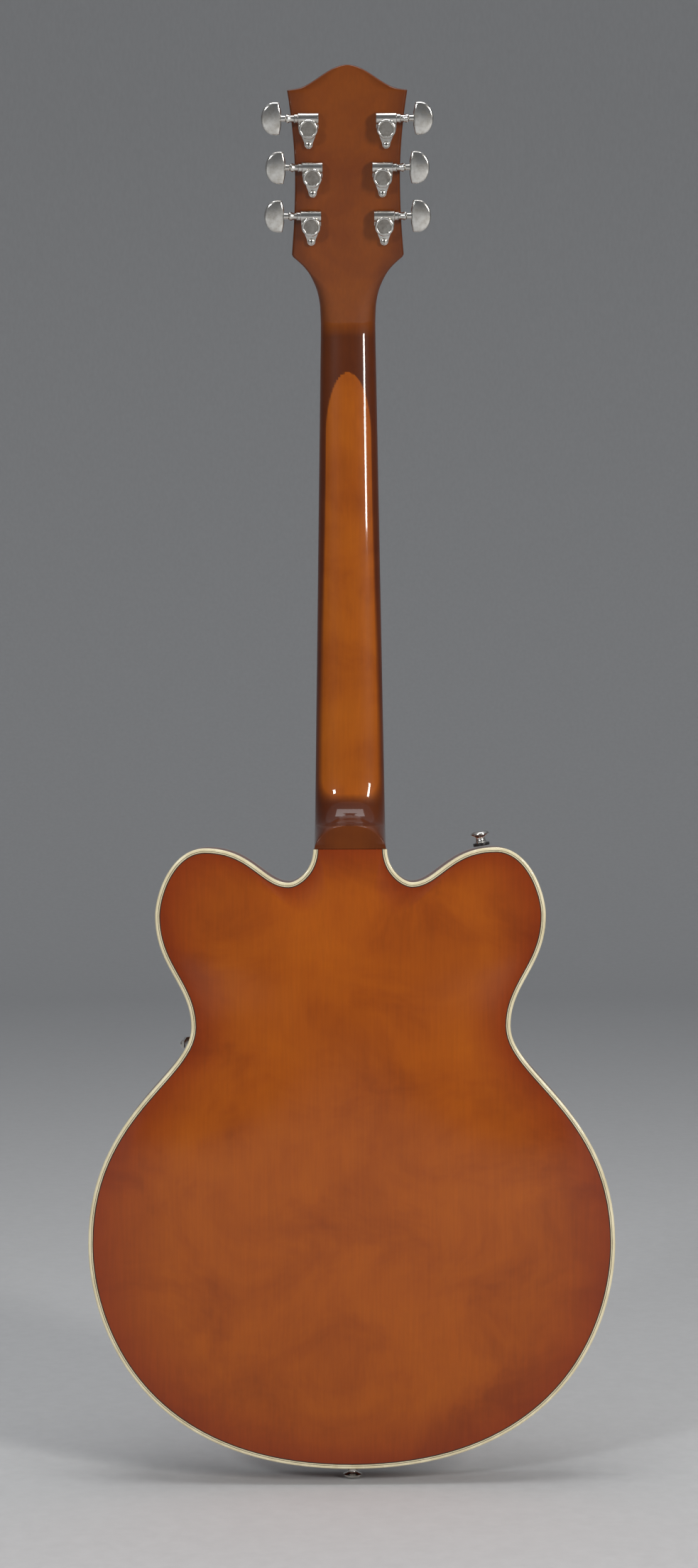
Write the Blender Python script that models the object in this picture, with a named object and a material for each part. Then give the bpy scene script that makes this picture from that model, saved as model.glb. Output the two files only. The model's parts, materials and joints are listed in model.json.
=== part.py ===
"""Semi-hollow electric guitar with an arched top and back, built from its separate pieces.

Metres, +Z up along the neck. The back of the guitar faces -Y, the strings face +Y and +X is the bass side.
The origin is where a wall hanger's yoke holds the headstock, on the centreline in the middle of the wood.
The pieces are modelled in a body frame whose z is 0 where the heel of the neck meets the body and whose
y is 0 in the middle of the rim. Headstock pieces have a frame of their own that lies on its front face.
"""
import math

import bmesh
import bpy
from mathutils import Matrix, Vector
from mathutils.geometry import interpolate_bezier

MM = 0.001
GAP = 0.3 * MM

# Body. Half of its outline from the heel of the neck to the tail, bass side.
# Each knot: point, direction of travel, reach of the curve before it, reach after it, steps to the next knot.
BODY_LENGTH = 478 * MM
BODY_HALF_WIDTH = 203.2 * MM
HEEL_HALF_WIDTH = 28.5 * MM
DOWN = Vector((0.0, -1.0))
OUT = Vector((1.0, 0.0))
OUTLINE_KNOTS = [
    (Vector((HEEL_HALF_WIDTH, 0.0)), DOWN, 0.0, 17 * MM, 4),
    (Vector((47.7 * MM, -25.9 * MM)), OUT, 6 * MM, 19 * MM, 6),
    (Vector((112.0 * MM, 0.9 * MM)), OUT, 36 * MM, 26.5 * MM, 7),
    (Vector((150.7 * MM, -51.6 * MM)), DOWN, 17.2 * MM, 39 * MM, 6),
    (Vector((123.1 * MM, -137.0 * MM)), DOWN, 32.5 * MM, 38 * MM, 7),
    (Vector((BODY_HALF_WIDTH, -304.0 * MM)), DOWN, 101 * MM, 65 * MM, 10),
    (Vector((0.0, -BODY_LENGTH)), -OUT, 162 * MM, 0.0, 0),
]
RIM_DEPTH = 44.5 * MM
RIM_HALF = RIM_DEPTH / 2
RIM_WALL = 7 * MM
TOP_ARCH = 10 * MM
BACK_ARCH = 8 * MM
PLATE_THICKNESS = 4.5 * MM
BINDING_WIDTH = 3.8 * MM
BINDING_HEIGHT = 5 * MM
SPINE_HIGH = -100 * MM
SPINE_LOW = -330 * MM
ARCH_RINGS = (0.0, 0.12, 0.32, 0.62, 1.0)
BLOCK_HALF_WIDTH = 45 * MM
BLOCK_NECK_HALF_WIDTH = 20.8 * MM
BLOCK_CLEARANCE = 1.4 * MM

# Neck and fingerboard.
SCALE_LENGTH = 625 * MM
FRET_COUNT = 22
BODY_FRET = 18
NECK_ANGLE = math.radians(3.0)
BOARD_AT_HEEL = 34.8 * MM
BOARD_THICKNESS = 6 * MM
BOARD_OVER_BODY = 48 * MM
BOARD_RADIUS = 305 * MM
FRET_HEIGHT = 1.1 * MM
FRET_HALF_WIDTH = 1.1 * MM
NUT_WIDTH = 42.8 * MM
BOARD_END_WIDTH = 57.5 * MM
NUT_LENGTH = 4.6 * MM
HEEL_CAP_HEIGHT = 17.8 * MM
HEEL_CAP_HALF_WIDTH = 27.5 * MM
TENON_HALF_WIDTH = 14 * MM
TENON_LENGTH = 50 * MM

# Headstock, measured along its own front face from the edge behind the nut.
HEAD_PITCH = math.radians(14.0)
HEAD_TILT = NECK_ANGLE + HEAD_PITCH
HEAD_THICKNESS = 15 * MM
HEAD_LENGTH = 197 * MM
HEAD_CORNER = 179 * MM
HEAD_CREST_HALF_WIDTH = 43 * MM
HEAD_EDGE_RADIUS = 2.5 * MM
SEAT_ALONG_HEAD = 37 * MM
# Distance along the headstock and half width there.
HEAD_FLARE = [
    (2, 21.4), (10, 21.6), (19, 22.2), (28, 24.0), (35, 26.6), (41.5, 29.9), (47, 34.2), (52, 39.6), (55, 43.2),
]
HEAD_SIDES = [(60, 42.8), (75, 41.6), (95, 40.6), (116, 40.2), (137, 40.9), (158, 42.8), (172, 44.6)]
HEAD_TOP_HALF_WIDTH = 45.6 * MM

# Tuners, three a side: distance along the headstock and out from its centreline.
TUNER_ROWS = [(78 * MM, 28.0 * MM), (114.2 * MM, 26.7 * MM), (150.4 * MM, 29.5 * MM)]
TUNER_HALF_WIDTH = 7.75 * MM
TUNER_SHAFT_ABOVE_POST = 7.6 * MM
TUNER_SHAFT_DEPTH = 20 * MM
TUNER_SCREW_BELOW_POST = 11.7 * MM
DRUM_RADIUS = 7.3 * MM
SLEEVE_RADIUS = 4.9 * MM
POST_RADIUS = 3.1 * MM
WINDING_RADIUS = 4.0 * MM
WINDING_HEIGHT = 8.5 * MM
GEAR_TEETH = 14
GEAR_RADIUS = 5.0 * MM
WORM_RADIUS = 2.2 * MM
BUTTON_INNER = 20.5 * MM
BUTTON_WIDTH = 15.3 * MM
BUTTON_HEIGHT = 24.5 * MM
BUTTON_THICKNESS = 7 * MM

# Strings, bass to treble: diameters, spread at nut and bridge, and how far each saddle is set back.
STRING_DIAMETERS = [1.17 * MM, 0.91 * MM, 0.66 * MM, 0.45 * MM, 0.33 * MM, 0.25 * MM]
NUT_SPREAD = 35.5 * MM
BRIDGE_SPREAD = 52 * MM
STRING_ABOVE_BOARD_AT_NUT = 1.9 * MM
STRING_ABOVE_BOARD_AT_BRIDGE = 5.2 * MM
SADDLE_SETBACK = [1.4 * MM, 0.8 * MM, 0.2 * MM, 1.0 * MM, 0.4 * MM, -0.4 * MM]
BRIDGE_COMPENSATION = 2 * MM
STRING_BREAK = 3 * MM

# Bridge, tailpiece and pickups.
BRIDGE_HALF_LENGTH = 45 * MM
BRIDGE_HALF_WIDTH = 5.7 * MM
BRIDGE_CHANNEL_HALF_WIDTH = 4.4 * MM
BRIDGE_CHANNEL_HALF_LENGTH = 33 * MM
BRIDGE_BOTTOM = 37.5 * MM
BRIDGE_TOP = 46.5 * MM
BRIDGE_POST_X = 37.2 * MM
SADDLE_HALF_WIDTH = 3.3 * MM
SADDLE_HALF_LENGTH = 2.2 * MM
TAIL_BEHIND_BRIDGE = 40 * MM
TAIL_HALF_LENGTH = 50 * MM
TAIL_HALF_WIDTH = 7.5 * MM
TAIL_BOTTOM = 36.5 * MM
TAIL_TOP = 45.5 * MM
TAIL_STUD_X = 41 * MM
PICKUPS = {"neck": (-77 * MM, 38.6 * MM, 35.4 * MM), "bridge": (-190 * MM, 45.6 * MM, 42.0 * MM)}
PICKUP_HALF_LENGTH = 34.8 * MM
PICKUP_HALF_WIDTH = 19 * MM
PICKUP_DEPTH = 24 * MM
RING_CLEARANCE = 0.6 * MM
RING_HALF_LENGTH = 45 * MM
RING_HALF_WIDTH = 22.6 * MM

# Controls: place on the top as x and z.
KNOBS = {
    "volume_neck": Vector((-112 * MM, -322 * MM)),
    "volume_bridge": Vector((-152 * MM, -300 * MM)),
    "tone": Vector((-138 * MM, -350 * MM)),
}
KNOB_RADIUS = 12 * MM
KNOB_HEIGHT = 15 * MM
POT_RADIUS = 12 * MM
POT_DEPTH = 9 * MM
TOGGLE_PLACE = Vector((100 * MM, -72 * MM))
JACK_PLACE = Vector((-98 * MM, -376 * MM))

# Sound holes: their middle as x and z on the bass side, and the length between the round eyes.
SOUND_HOLE_PLACE = Vector((97 * MM, -226 * MM))
SOUND_HOLE_RISE = 44 * MM
SOUND_HOLE_LEAN = 9 * MM
SOUND_HOLE_CURL = 9 * MM

# Strap buttons and pickguard.
STRAP_HORN_PLACE = Vector((102.5 * MM, 1.0 * MM))
STRAP_HORN_TILT = math.radians(9.0)
STRAP_WASHER_RADIUS = 6.4 * MM
STRAP_FLANGE_RADIUS = 7.25 * MM
GUARD_BOTTOM = 36.6 * MM
GUARD_THICKNESS = 2.5 * MM
BRACKET_Z = -152 * MM
BRACKET_HALF_WIDTH = 2.8 * MM

# Derived places in the body frame.
NUT_Z = SCALE_LENGTH * (1 - 2 ** (-BODY_FRET / 12)) * math.cos(NECK_ANGLE)
HEAD_START_Z = NUT_Z + NUT_LENGTH + 0.4 * MM
BRIDGE_Z = NUT_Z - (SCALE_LENGTH + BRIDGE_COMPENSATION) * math.cos(NECK_ANGLE)


def board_plane(z):
    """Height of the crown of the fingerboard above the middle of the rim."""
    return BOARD_AT_HEEL - z * math.tan(NECK_ANGLE)


def board_underside(z):
    return board_plane(z) - BOARD_THICKNESS


def board_half_width(z):
    along = (NUT_Z - z) / (NUT_Z + BOARD_OVER_BODY)
    return (NUT_WIDTH + (BOARD_END_WIDTH - NUT_WIDTH) * along) / 2


HEAD_ORIGIN = Vector((0.0, board_underside(HEAD_START_Z), HEAD_START_Z))


def head_point(x, out, along):
    """A place on the headstock: across, out of its front face, and along it, in the body frame."""
    up = Vector((0.0, -math.sin(HEAD_TILT), math.cos(HEAD_TILT)))
    front = Vector((0.0, math.cos(HEAD_TILT), math.sin(HEAD_TILT)))
    return HEAD_ORIGIN + Vector((x, 0.0, 0.0)) + front * out + up * along


SEAT = head_point(0.0, -HEAD_THICKNESS / 2, SEAT_ALONG_HEAD)


# Scene helpers.
def clear_scene():
    for thing in list(bpy.data.objects):
        bpy.data.objects.remove(thing, do_unlink=True)


def make_material(name, colour, roughness, metallic=0.0):
    material = bpy.data.materials.new(name)
    material.use_nodes = True
    shader = material.node_tree.nodes["Principled BSDF"]
    shader.inputs["Base Color"].default_value = (*colour, 1.0)
    shader.inputs["Roughness"].default_value = roughness
    shader.inputs["Metallic"].default_value = metallic
    material.diffuse_color = (*colour, 1.0)
    return material


def make_empty(name, location, tilt=0.0, parent=None):
    empty = bpy.data.objects.new(name, None)
    empty.location = location
    empty.rotation_euler = (tilt, 0.0, 0.0)
    empty.parent = parent
    bpy.context.scene.collection.objects.link(empty)
    return empty


def make_object(name, shape, material, parent, location=(0.0, 0.0, 0.0), rotation=(0.0, 0.0, 0.0)):
    """Turns a bmesh, or a mesh that another copy already has, into a named object."""
    if isinstance(shape, bmesh.types.BMesh):
        mesh = bpy.data.meshes.new(name)
        bmesh.ops.recalc_face_normals(shape, faces=shape.faces[:])
        shape.to_mesh(mesh)
        shape.free()
        mesh.shade_smooth()
        mesh.set_sharp_from_angle(angle=math.radians(32))
        mesh.materials.append(material)
    else:
        mesh = shape
    piece = bpy.data.objects.new(name, mesh)
    piece.location = location
    piece.rotation_euler = rotation
    piece.parent = parent
    bpy.context.scene.collection.objects.link(piece)
    return piece


def make_tool(name, shape, parent, location=(0.0, 0.0, 0.0), rotation=(0.0, 0.0, 0.0)):
    """A cutter or a joined shape: it is not a piece of the guitar."""
    tool = make_object(name, shape, MATERIALS["guide"], parent, location, rotation)
    tool.hide_render = True
    tool.display_type = "WIRE"
    return tool


def combine(piece, tool, operation):
    modifier = piece.modifiers.new(f"{operation.lower()} {tool.name}", "BOOLEAN")
    modifier.operation = operation
    modifier.solver = "EXACT"
    modifier.object = tool


def cut(piece, *tools):
    for tool in tools:
        combine(piece, tool, "DIFFERENCE")


def join(piece, *tools):
    for tool in tools:
        combine(piece, tool, "UNION")


def finished_mesh(piece, name):
    """The mesh that a piece's modifiers give, for the copies that share it."""
    bpy.context.view_layer.update()
    graph = bpy.context.evaluated_depsgraph_get()
    mesh = bpy.data.meshes.new_from_object(piece.evaluated_get(graph))
    mesh.name = name
    return mesh


def mirrored_mesh(mesh, name):
    """The same shape for the other side of the guitar."""
    shape = bmesh.new()
    shape.from_mesh(mesh)
    bmesh.ops.scale(shape, vec=(-1.0, 1.0, 1.0), verts=shape.verts[:])
    bmesh.ops.reverse_faces(shape, faces=shape.faces[:])
    mirrored = mesh.copy()
    mirrored.name = name
    shape.to_mesh(mirrored)
    shape.free()
    return mirrored


# Shape helpers.
def loft(loops, closed=False):
    """Skins a row of loops that have the same count of points, and caps the ends unless the row is closed."""
    shape = bmesh.new()
    rings = [[shape.verts.new(point) for point in loop] for loop in loops]
    count = len(rings[0])
    pairs = list(zip(rings, rings[1:]))
    if closed:
        pairs.append((rings[-1], rings[0]))
    for here, there in pairs:
        for i in range(count):
            j = (i + 1) % count
            shape.faces.new((here[i], here[j], there[j], there[i]))
    if not closed:
        shape.faces.new(rings[0])
        shape.faces.new(rings[-1])
    return shape


def turned(profile, segments, direction="Y"):
    """Spins a closed profile of (radius, height) points round an axis through the origin."""
    shape = bmesh.new()
    verts = [shape.verts.new((radius, 0.0, height)) for radius, height in profile]
    edges = [shape.edges.new((a, b)) for a, b in zip(verts, verts[1:] + verts[:1])]
    on_axis = [edge for edge in edges if all(vert.co.x == 0.0 for vert in edge.verts)]
    bmesh.ops.delete(shape, geom=on_axis, context="EDGES_FACES")
    bmesh.ops.spin(
        shape, geom=shape.verts[:] + shape.edges[:], cent=(0, 0, 0), axis=(0, 0, 1),
        angle=2 * math.pi, steps=segments, use_merge=True,
    )
    bmesh.ops.remove_doubles(shape, verts=shape.verts[:], dist=1e-7)
    turns = {"Y": Matrix.Rotation(-math.pi / 2, 3, "X"), "X": Matrix.Rotation(math.pi / 2, 3, "Y")}
    if direction in turns:
        bmesh.ops.rotate(shape, cent=(0, 0, 0), matrix=turns[direction], verts=shape.verts[:])
    return shape


def prism_y(points, low, high):
    """Extrudes an outline of (x, z) points between two heights in y."""
    return loft([[(x, low, z) for x, z in points], [(x, high, z) for x, z in points]])


def prism_x(points, low, high):
    """Extrudes an outline of (y, z) points between two places in x."""
    return loft([[(low, y, z) for y, z in points], [(high, y, z) for y, z in points]])


def prism_z(points, low, high):
    """Extrudes an outline of (x, y) points between two heights in z."""
    return loft([[(x, y, low) for x, y in points], [(x, y, high) for x, y in points]])


def box(low, high):
    points = [(low[0], low[2]), (high[0], low[2]), (high[0], high[2]), (low[0], high[2])]
    return prism_y(points, low[1], high[1])


def merged(shapes):
    """One bmesh that holds several bodies, for a cutter."""
    whole = bmesh.new()
    for shape in shapes:
        bmesh.ops.recalc_face_normals(shape, faces=shape.faces[:])
        mesh = bpy.data.meshes.new("body of a cutter")
        shape.to_mesh(mesh)
        shape.free()
        whole.from_mesh(mesh)
        bpy.data.meshes.remove(mesh)
    return whole


def tube(path, radius, sides):
    """A round bar that follows a path of points."""
    path = [Vector(point) for point in path]
    loops = []
    for i, point in enumerate(path):
        before = (point - path[i - 1]).normalized() if i else None
        after = (path[i + 1] - point).normalized() if i + 1 < len(path) else None
        along = (before or after) + (after or before)
        along.normalize()
        across = along.cross(Vector((1.0, 0.0, 0.0)) if abs(along.x) < 0.9 else Vector((0.0, 0.0, 1.0)))
        across.normalize()
        other = along.cross(across)
        angles = [2 * math.pi * k / sides for k in range(sides)]
        loops.append([point + (across * math.cos(a) + other * math.sin(a)) * radius for a in angles])
    return loft(loops)


def arc(centre, radius, start, end, steps):
    """Points on a round stretch of an outline, with angles in degrees."""
    angles = [math.radians(start + (end - start) * k / steps) for k in range(steps + 1)]
    return [(centre[0] + radius * math.cos(a), centre[1] + radius * math.sin(a)) for a in angles]


def rounded_rectangle(half_x, half_z, radius, corner_steps=2, x_steps=0, z_steps=0):
    """Outline with round corners, with further points along its straight sides where they are asked for."""
    cx, cz = half_x - radius, half_z - radius
    corners = [
        arc((cx, cz), radius, 0, 90, corner_steps), arc((-cx, cz), radius, 90, 180, corner_steps),
        arc((-cx, -cz), radius, 180, 270, corner_steps), arc((cx, -cz), radius, 270, 360, corner_steps),
    ]
    points = []
    for k, corner in enumerate(corners):
        points += corner
        steps = x_steps if k % 2 == 0 else z_steps
        ahead = corners[(k + 1) % 4][0]
        for step in range(1, steps + 1):
            part = step / (steps + 1)
            points.append(tuple(a + (b - a) * part for a, b in zip(corner[-1], ahead)))
    return points


# Body outline and arch.
def half_outline():
    """Points of the bass half of the body's outline, from the heel to the tail."""
    points = []
    for (point, way, _, after, steps), (ahead, way_ahead, before, _, _) in zip(OUTLINE_KNOTS, OUTLINE_KNOTS[1:]):
        stretch = interpolate_bezier(point, point + way * after, ahead - way_ahead * before, ahead, steps + 1)
        points += [Vector(p[:2]) for p in stretch[:-1]]
    points.append(OUTLINE_KNOTS[-1][0].copy())
    return points


def inset_half(distance):
    """The half outline moved into the body by a distance, square to the edge."""
    points = half_outline()
    moved = []
    for i, point in enumerate(points):
        before = (point - points[i - 1]).normalized() if i else DOWN
        after = (points[i + 1] - point).normalized() if i + 1 < len(points) else -OUT
        inward = Vector((before.y, -before.x)) + Vector((after.y, -after.x))
        inward.normalize()
        square = Vector((before.y, -before.x))
        moved.append(point + inward * distance / max(inward.dot(square), 0.5))
    return moved


def closed_outline(distance, top=-GAP):
    """The whole outline, bass side first, with its straight edge beside the heel at the given height."""
    bass = inset_half(distance)
    bass[0].y = top
    treble = [Vector((-p.x, p.y)) for p in reversed(bass[:-1])]
    return bass + treble


def spine_point(z):
    return Vector((0.0, min(max(z, SPINE_LOW), SPINE_HIGH)))


def arch_rise(inward):
    """Share of the arch's height at a share of the way from the edge to the spine."""
    return math.sin(math.pi / 2 * inward ** 0.75) ** 2


def reach_of_plate(start, direction):
    """How far a plate reaches from a point of the spine in a direction."""
    edge = PLATE_OUTLINE
    for a, b in zip(edge, edge[1:] + edge[:1]):
        side = b - a
        across = direction.x * side.y - direction.y * side.x
        if abs(across) < 1e-12:
            continue
        offset = a - start
        reach = (offset.x * side.y - offset.y * side.x) / across
        share = (offset.x * direction.y - offset.y * direction.x) / across
        if reach > 0 and -1e-9 <= share <= 1 + 1e-9:
            return reach
    return 1.0


def arch_at(x, z, height):
    """Height of the arch above the plate's edge at a place on the body."""
    start = spine_point(z)
    way = Vector((x, z)) - start
    if way.length < 1e-6:
        return height
    return height * arch_rise(max(0.0, 1 - way.length / reach_of_plate(start, way.normalized())))


def top_surface(x, z):
    return RIM_HALF + arch_at(x, z, TOP_ARCH)


PLATE_OUTLINE = closed_outline(BINDING_WIDTH + GAP)


def arched_plate(side, height):
    """An arched top (side 1) or back (side -1): rings of its outline that close up on the spine."""
    shape = bmesh.new()
    skins = []
    for outward in (0.0, PLATE_THICKNESS):
        rings = []
        for inward in ARCH_RINGS:
            ring = []
            for edge in PLATE_OUTLINE:
                place = edge.lerp(spine_point(edge.y), inward)
                y = side * (RIM_HALF - PLATE_THICKNESS + outward + height * arch_rise(inward))
                ring.append(shape.verts.new((place.x, y, place.y)))
            rings.append(ring)
        skins.append(rings)
    count = len(PLATE_OUTLINE)
    for rings in skins:
        for here, there in zip(rings, rings[1:]):
            for i in range(count):
                j = (i + 1) % count
                shape.faces.new((here[i], here[j], there[j], there[i]))
    inner, outer = skins[0][0], skins[1][0]
    for i in range(count):
        j = (i + 1) % count
        shape.faces.new((inner[i], inner[j], outer[j], outer[i]))
    bmesh.ops.remove_doubles(shape, verts=shape.verts[:], dist=1e-7)
    return shape


def edge_strip(outer_inset, inner_inset, low, high):
    """A strip that runs round the body from one side of the heel to the other."""
    sections = []
    for outer, inner in zip(inset_half(outer_inset), inset_half(inner_inset)):
        sections.append((outer, inner))
    sections[0][0].y = -GAP
    sections[0][1].y = -GAP
    sections += [(Vector((-o.x, o.y)), Vector((-i.x, i.y))) for o, i in reversed(sections[:-1])]
    loops = [[(o.x, low, o.y), (o.x, high, o.y), (i.x, high, i.y), (i.x, low, i.y)] for o, i in sections]
    return loft(loops)


# Pieces of the body.
def build_rim(frame):
    reach = RIM_HALF - BINDING_HEIGHT - GAP
    return make_object("rim", edge_strip(0.0, RIM_WALL, -reach, reach), MATERIALS["maple"], frame)


def build_bindings(frame):
    low, high = RIM_HALF - BINDING_HEIGHT, RIM_HALF
    make_object("top_binding", edge_strip(0.0, BINDING_WIDTH, low, high), MATERIALS["binding"], frame)
    make_object("back_binding", edge_strip(0.0, BINDING_WIDTH, -high, -low), MATERIALS["binding"], frame)


def sound_hole_band(side):
    """The long slot of a sound hole: a slender S that swells in its middle."""
    centre = SOUND_HOLE_PLACE
    high = Vector((-SOUND_HOLE_LEAN, SOUND_HOLE_RISE))
    low = -high
    curl = SOUND_HOLE_CURL
    path = [high + Vector(p) for p in arc((-curl * 0.2, 0.0), curl, 170, 10, 4)]
    path += [high.lerp(low, share) + Vector((curl * (0.8 - 1.6 * share), 0.0)) for share in (0.3, 0.5, 0.7)]
    path += [low + Vector(p) for p in arc((curl * 0.2, 0.0), curl, 190, 350, 4)]
    left, right = [], []
    for i, point in enumerate(path):
        along = (path[min(i + 1, len(path) - 1)] - path[max(i - 1, 0)]).normalized()
        swell = (1.3 + 2.2 * math.sin(math.pi * i / (len(path) - 1)) ** 2) * MM
        across = Vector((-along.y, along.x)) * swell
        left.append(centre + point + across)
        right.append(centre + point - across)
    return [(side * p.x, p.y) for p in left + right[::-1]]


def sound_hole_eyes(side):
    """The two round ends of a sound hole, inside the curls of its slot."""
    curl = SOUND_HOLE_CURL
    high = SOUND_HOLE_PLACE + Vector((-SOUND_HOLE_LEAN - curl, SOUND_HOLE_RISE - 2 * MM))
    low = SOUND_HOLE_PLACE + Vector((SOUND_HOLE_LEAN + curl, 2 * MM - SOUND_HOLE_RISE))
    for centre, radius in ((high, 5.2 * MM), (low, 6.2 * MM)):
        yield [(side * x, z) for x, z in arc(centre, radius, 0, 330, 11)]


def hole_y(place, radius, low, high, sides=12):
    return prism_y(arc(place, radius, 0, 360 * (1 - 1 / sides), sides - 1), low, high)


def build_plates(frame):
    make_object("back_plate", arched_plate(-1, BACK_ARCH), MATERIALS["back"], frame)
    top = make_object("top_plate", arched_plate(1, TOP_ARCH), MATERIALS["back"], frame)
    low, high = RIM_HALF - 8 * MM, RIM_HALF + TOP_ARCH + 5 * MM
    neck_slot = (BLOCK_NECK_HALF_WIDTH, BOARD_OVER_BODY + GAP)
    openings = [box((-neck_slot[0], low, -neck_slot[1]), (neck_slot[0], high, 5 * MM))]
    for z, _, _ in PICKUPS.values():
        reach = (PICKUP_HALF_LENGTH + GAP * 2, PICKUP_HALF_WIDTH + GAP * 2)
        openings.append(box((-reach[0], low, z - reach[1]), (reach[0], high, z + reach[1])))
    openings += [hole_y(place, 5.2 * MM, low, high) for place in KNOBS.values()]
    openings.append(hole_y(TOGGLE_PLACE, 6.8 * MM, low, high))
    openings.append(hole_y(JACK_PLACE, 5.3 * MM, low, high))
    for side in (-1, 1):
        openings.append(hole_y((side * BRIDGE_POST_X, BRIDGE_Z), 5.4 * MM, low, high))
        openings.append(hole_y((side * TAIL_STUD_X, BRIDGE_Z - TAIL_BEHIND_BRIDGE), 6.2 * MM, low, high))
        openings.append(prism_y(sound_hole_band(side), low, high))
    eyes = [prism_y(eye, low, high) for side in (-1, 1) for eye in sound_hole_eyes(side)]
    cut(top, make_tool("top_openings", merged(openings), frame), make_tool("sound_hole_eyes", merged(eyes), frame))


def build_center_block(frame):
    """The solid block from the neck to the tail, which follows the arches of top and back."""
    neck_step = -36 * MM
    slot_end = -(BOARD_OVER_BODY + 2 * GAP)
    flat = RIM_HALF - BINDING_HEIGHT - GAP
    ends = [-GAP, neck_step]
    wide = [neck_step - 0.01 * MM, slot_end, slot_end - 0.01 * MM]
    wide += [-70 * MM - 56.4 * MM * k for k in range(8)]
    loops = []
    for z in ends + wide:
        half = BLOCK_NECK_HALF_WIDTH if z in ends else BLOCK_HALF_WIDTH
        across = [half * share for share in (-1, -0.5, 0, 0.5, 1)]
        inside = RIM_HALF - PLATE_THICKNESS - BLOCK_CLEARANCE
        top = [flat if z >= slot_end else inside + arch_at(x, z, TOP_ARCH) for x in across]
        back = [-(inside + arch_at(x, z, BACK_ARCH)) for x in across]
        front = [(x, y, z) for x, y in zip(across, top)]
        rear = [(x, y, z) for x, y in zip(across, back)]
        loops.append(front + rear[::-1])
    block = make_object("center_block", loft(loops), MATERIALS["block"], frame)
    high = RIM_HALF + TOP_ARCH
    gap = 2 * GAP
    pockets = [box((-TENON_HALF_WIDTH - gap, -10 * MM, -TENON_LENGTH - gap), (TENON_HALF_WIDTH + gap, high, 5 * MM))]
    for z, top, _ in PICKUPS.values():
        reach = (PICKUP_HALF_LENGTH + 2 * MM, PICKUP_HALF_WIDTH + 2 * MM)
        floor = top - PICKUP_DEPTH - 2 * MM
        pockets.append(box((-reach[0], floor, z - reach[1]), (reach[0], high, z + reach[1])))
    for side in (-1, 1):
        pockets.append(hole_y((side * BRIDGE_POST_X, BRIDGE_Z), 3.5 * MM, 8 * MM, high))
        pockets.append(hole_y((side * TAIL_STUD_X, BRIDGE_Z - TAIL_BEHIND_BRIDGE), 6.2 * MM, 2 * MM, high))
    cut(block, make_tool("block_pockets", merged(pockets), frame))


# Neck, fingerboard and what is set in them.
def neck_section(half_width, depth, flat, side, place, tilt):
    """One cross-section: a straight front, short sides and a rounded back with a flat in its middle."""
    half = [(half_width, 0.0)]
    for k in range(6):
        turn = math.pi / 2 * k / 5
        x = flat + (half_width - flat) * math.cos(turn) ** 0.9
        half.append((x, side + (depth - side) * math.sin(turn) ** 0.9))
    half.append((flat * 0.5, depth))
    outline = half + [(-x, d) for x, d in reversed(half)]
    back = Vector((0.0, -math.cos(tilt), -math.sin(tilt)))
    return [place + Vector((x, 0.0, 0.0)) + back * d for x, d in outline]


def shaft_depth(z):
    """Depth of the neck's wood behind the fingerboard, growing into the heel."""
    slim = (14.8 + 2.9 * (NUT_Z - z) / NUT_Z) * MM
    heel_start, heel_end = 62 * MM, HEEL_CAP_HEIGHT
    if z >= heel_start:
        return slim
    share = min(1.0, (heel_start - z) / (heel_start - heel_end))
    full = board_underside(z) + RIM_HALF
    return slim + (full - slim) * (1 - math.sqrt(1 - share ** 2.6))


def neck_sections():
    sections = []
    for z in (0.0, 4 * MM, 8 * MM, 11.5 * MM, 14.5 * MM, 16.5 * MM, 17.6 * MM):
        cap = HEEL_CAP_HALF_WIDTH * math.sqrt(1 - (z / HEEL_CAP_HEIGHT) ** 1.6)
        place = Vector((0.0, board_underside(z), z))
        depth = board_underside(z) + RIM_HALF
        sections.append(neck_section(board_half_width(z), depth, max(cap, 0.8 * MM), 4 * MM, place, 0.0))
    shaft = [18.6, 20, 22.5, 26, 31, 38, 47, 60, 90, 150, 230, 310, 370]
    for z in [value * MM for value in shaft] + [NUT_Z - 6 * MM]:
        place = Vector((0.0, board_underside(z), z))
        sections.append(neck_section(board_half_width(z), shaft_depth(z), 0.8 * MM, 2 * MM, place, 0.0))
    return sections


def crest_half_width(along):
    """Half width of the pointed crest at the tip of the headstock: a bell-shaped curve."""
    share = (along - HEAD_CORNER) / (HEAD_LENGTH - HEAD_CORNER)
    return HEAD_CREST_HALF_WIDTH / math.pi * math.acos(2 * share - 1)


def head_sections():
    sections = []
    thick = HEAD_THICKNESS
    for along, half in HEAD_FLARE:
        along, half = along * MM, half * MM
        blend = min(1.0, along / (41 * MM))
        flat = 0.8 * MM + (half - HEAD_EDGE_RADIUS - 0.8 * MM) * blend ** 1.5
        side = 2 * MM + (thick - HEAD_EDGE_RADIUS - 2 * MM) * blend ** 1.5
        tilt = HEAD_TILT * min(1.0, 0.5 + along / (20 * MM))
        place = head_point(0.0, 0.0, along)
        sections.append(neck_section(half, thick, flat, side, place, tilt))
    plain = [(a * MM, h * MM) for a, h in HEAD_SIDES]
    plain.append((HEAD_CORNER - 0.6 * MM, HEAD_TOP_HALF_WIDTH))
    crest = HEAD_LENGTH - HEAD_CORNER
    for share in (0.01, 0.05, 0.13, 0.28, 0.5, 0.7, 0.85, 0.95, 0.995):
        along = HEAD_CORNER + crest * share
        plain.append((along, crest_half_width(along)))
    for along, half in plain:
        flat = max(half - HEAD_EDGE_RADIUS, half * 0.3)
        place = head_point(0.0, 0.0, along)
        sections.append(neck_section(half, thick, flat, thick - HEAD_EDGE_RADIUS, place, HEAD_TILT))
    return sections


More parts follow.
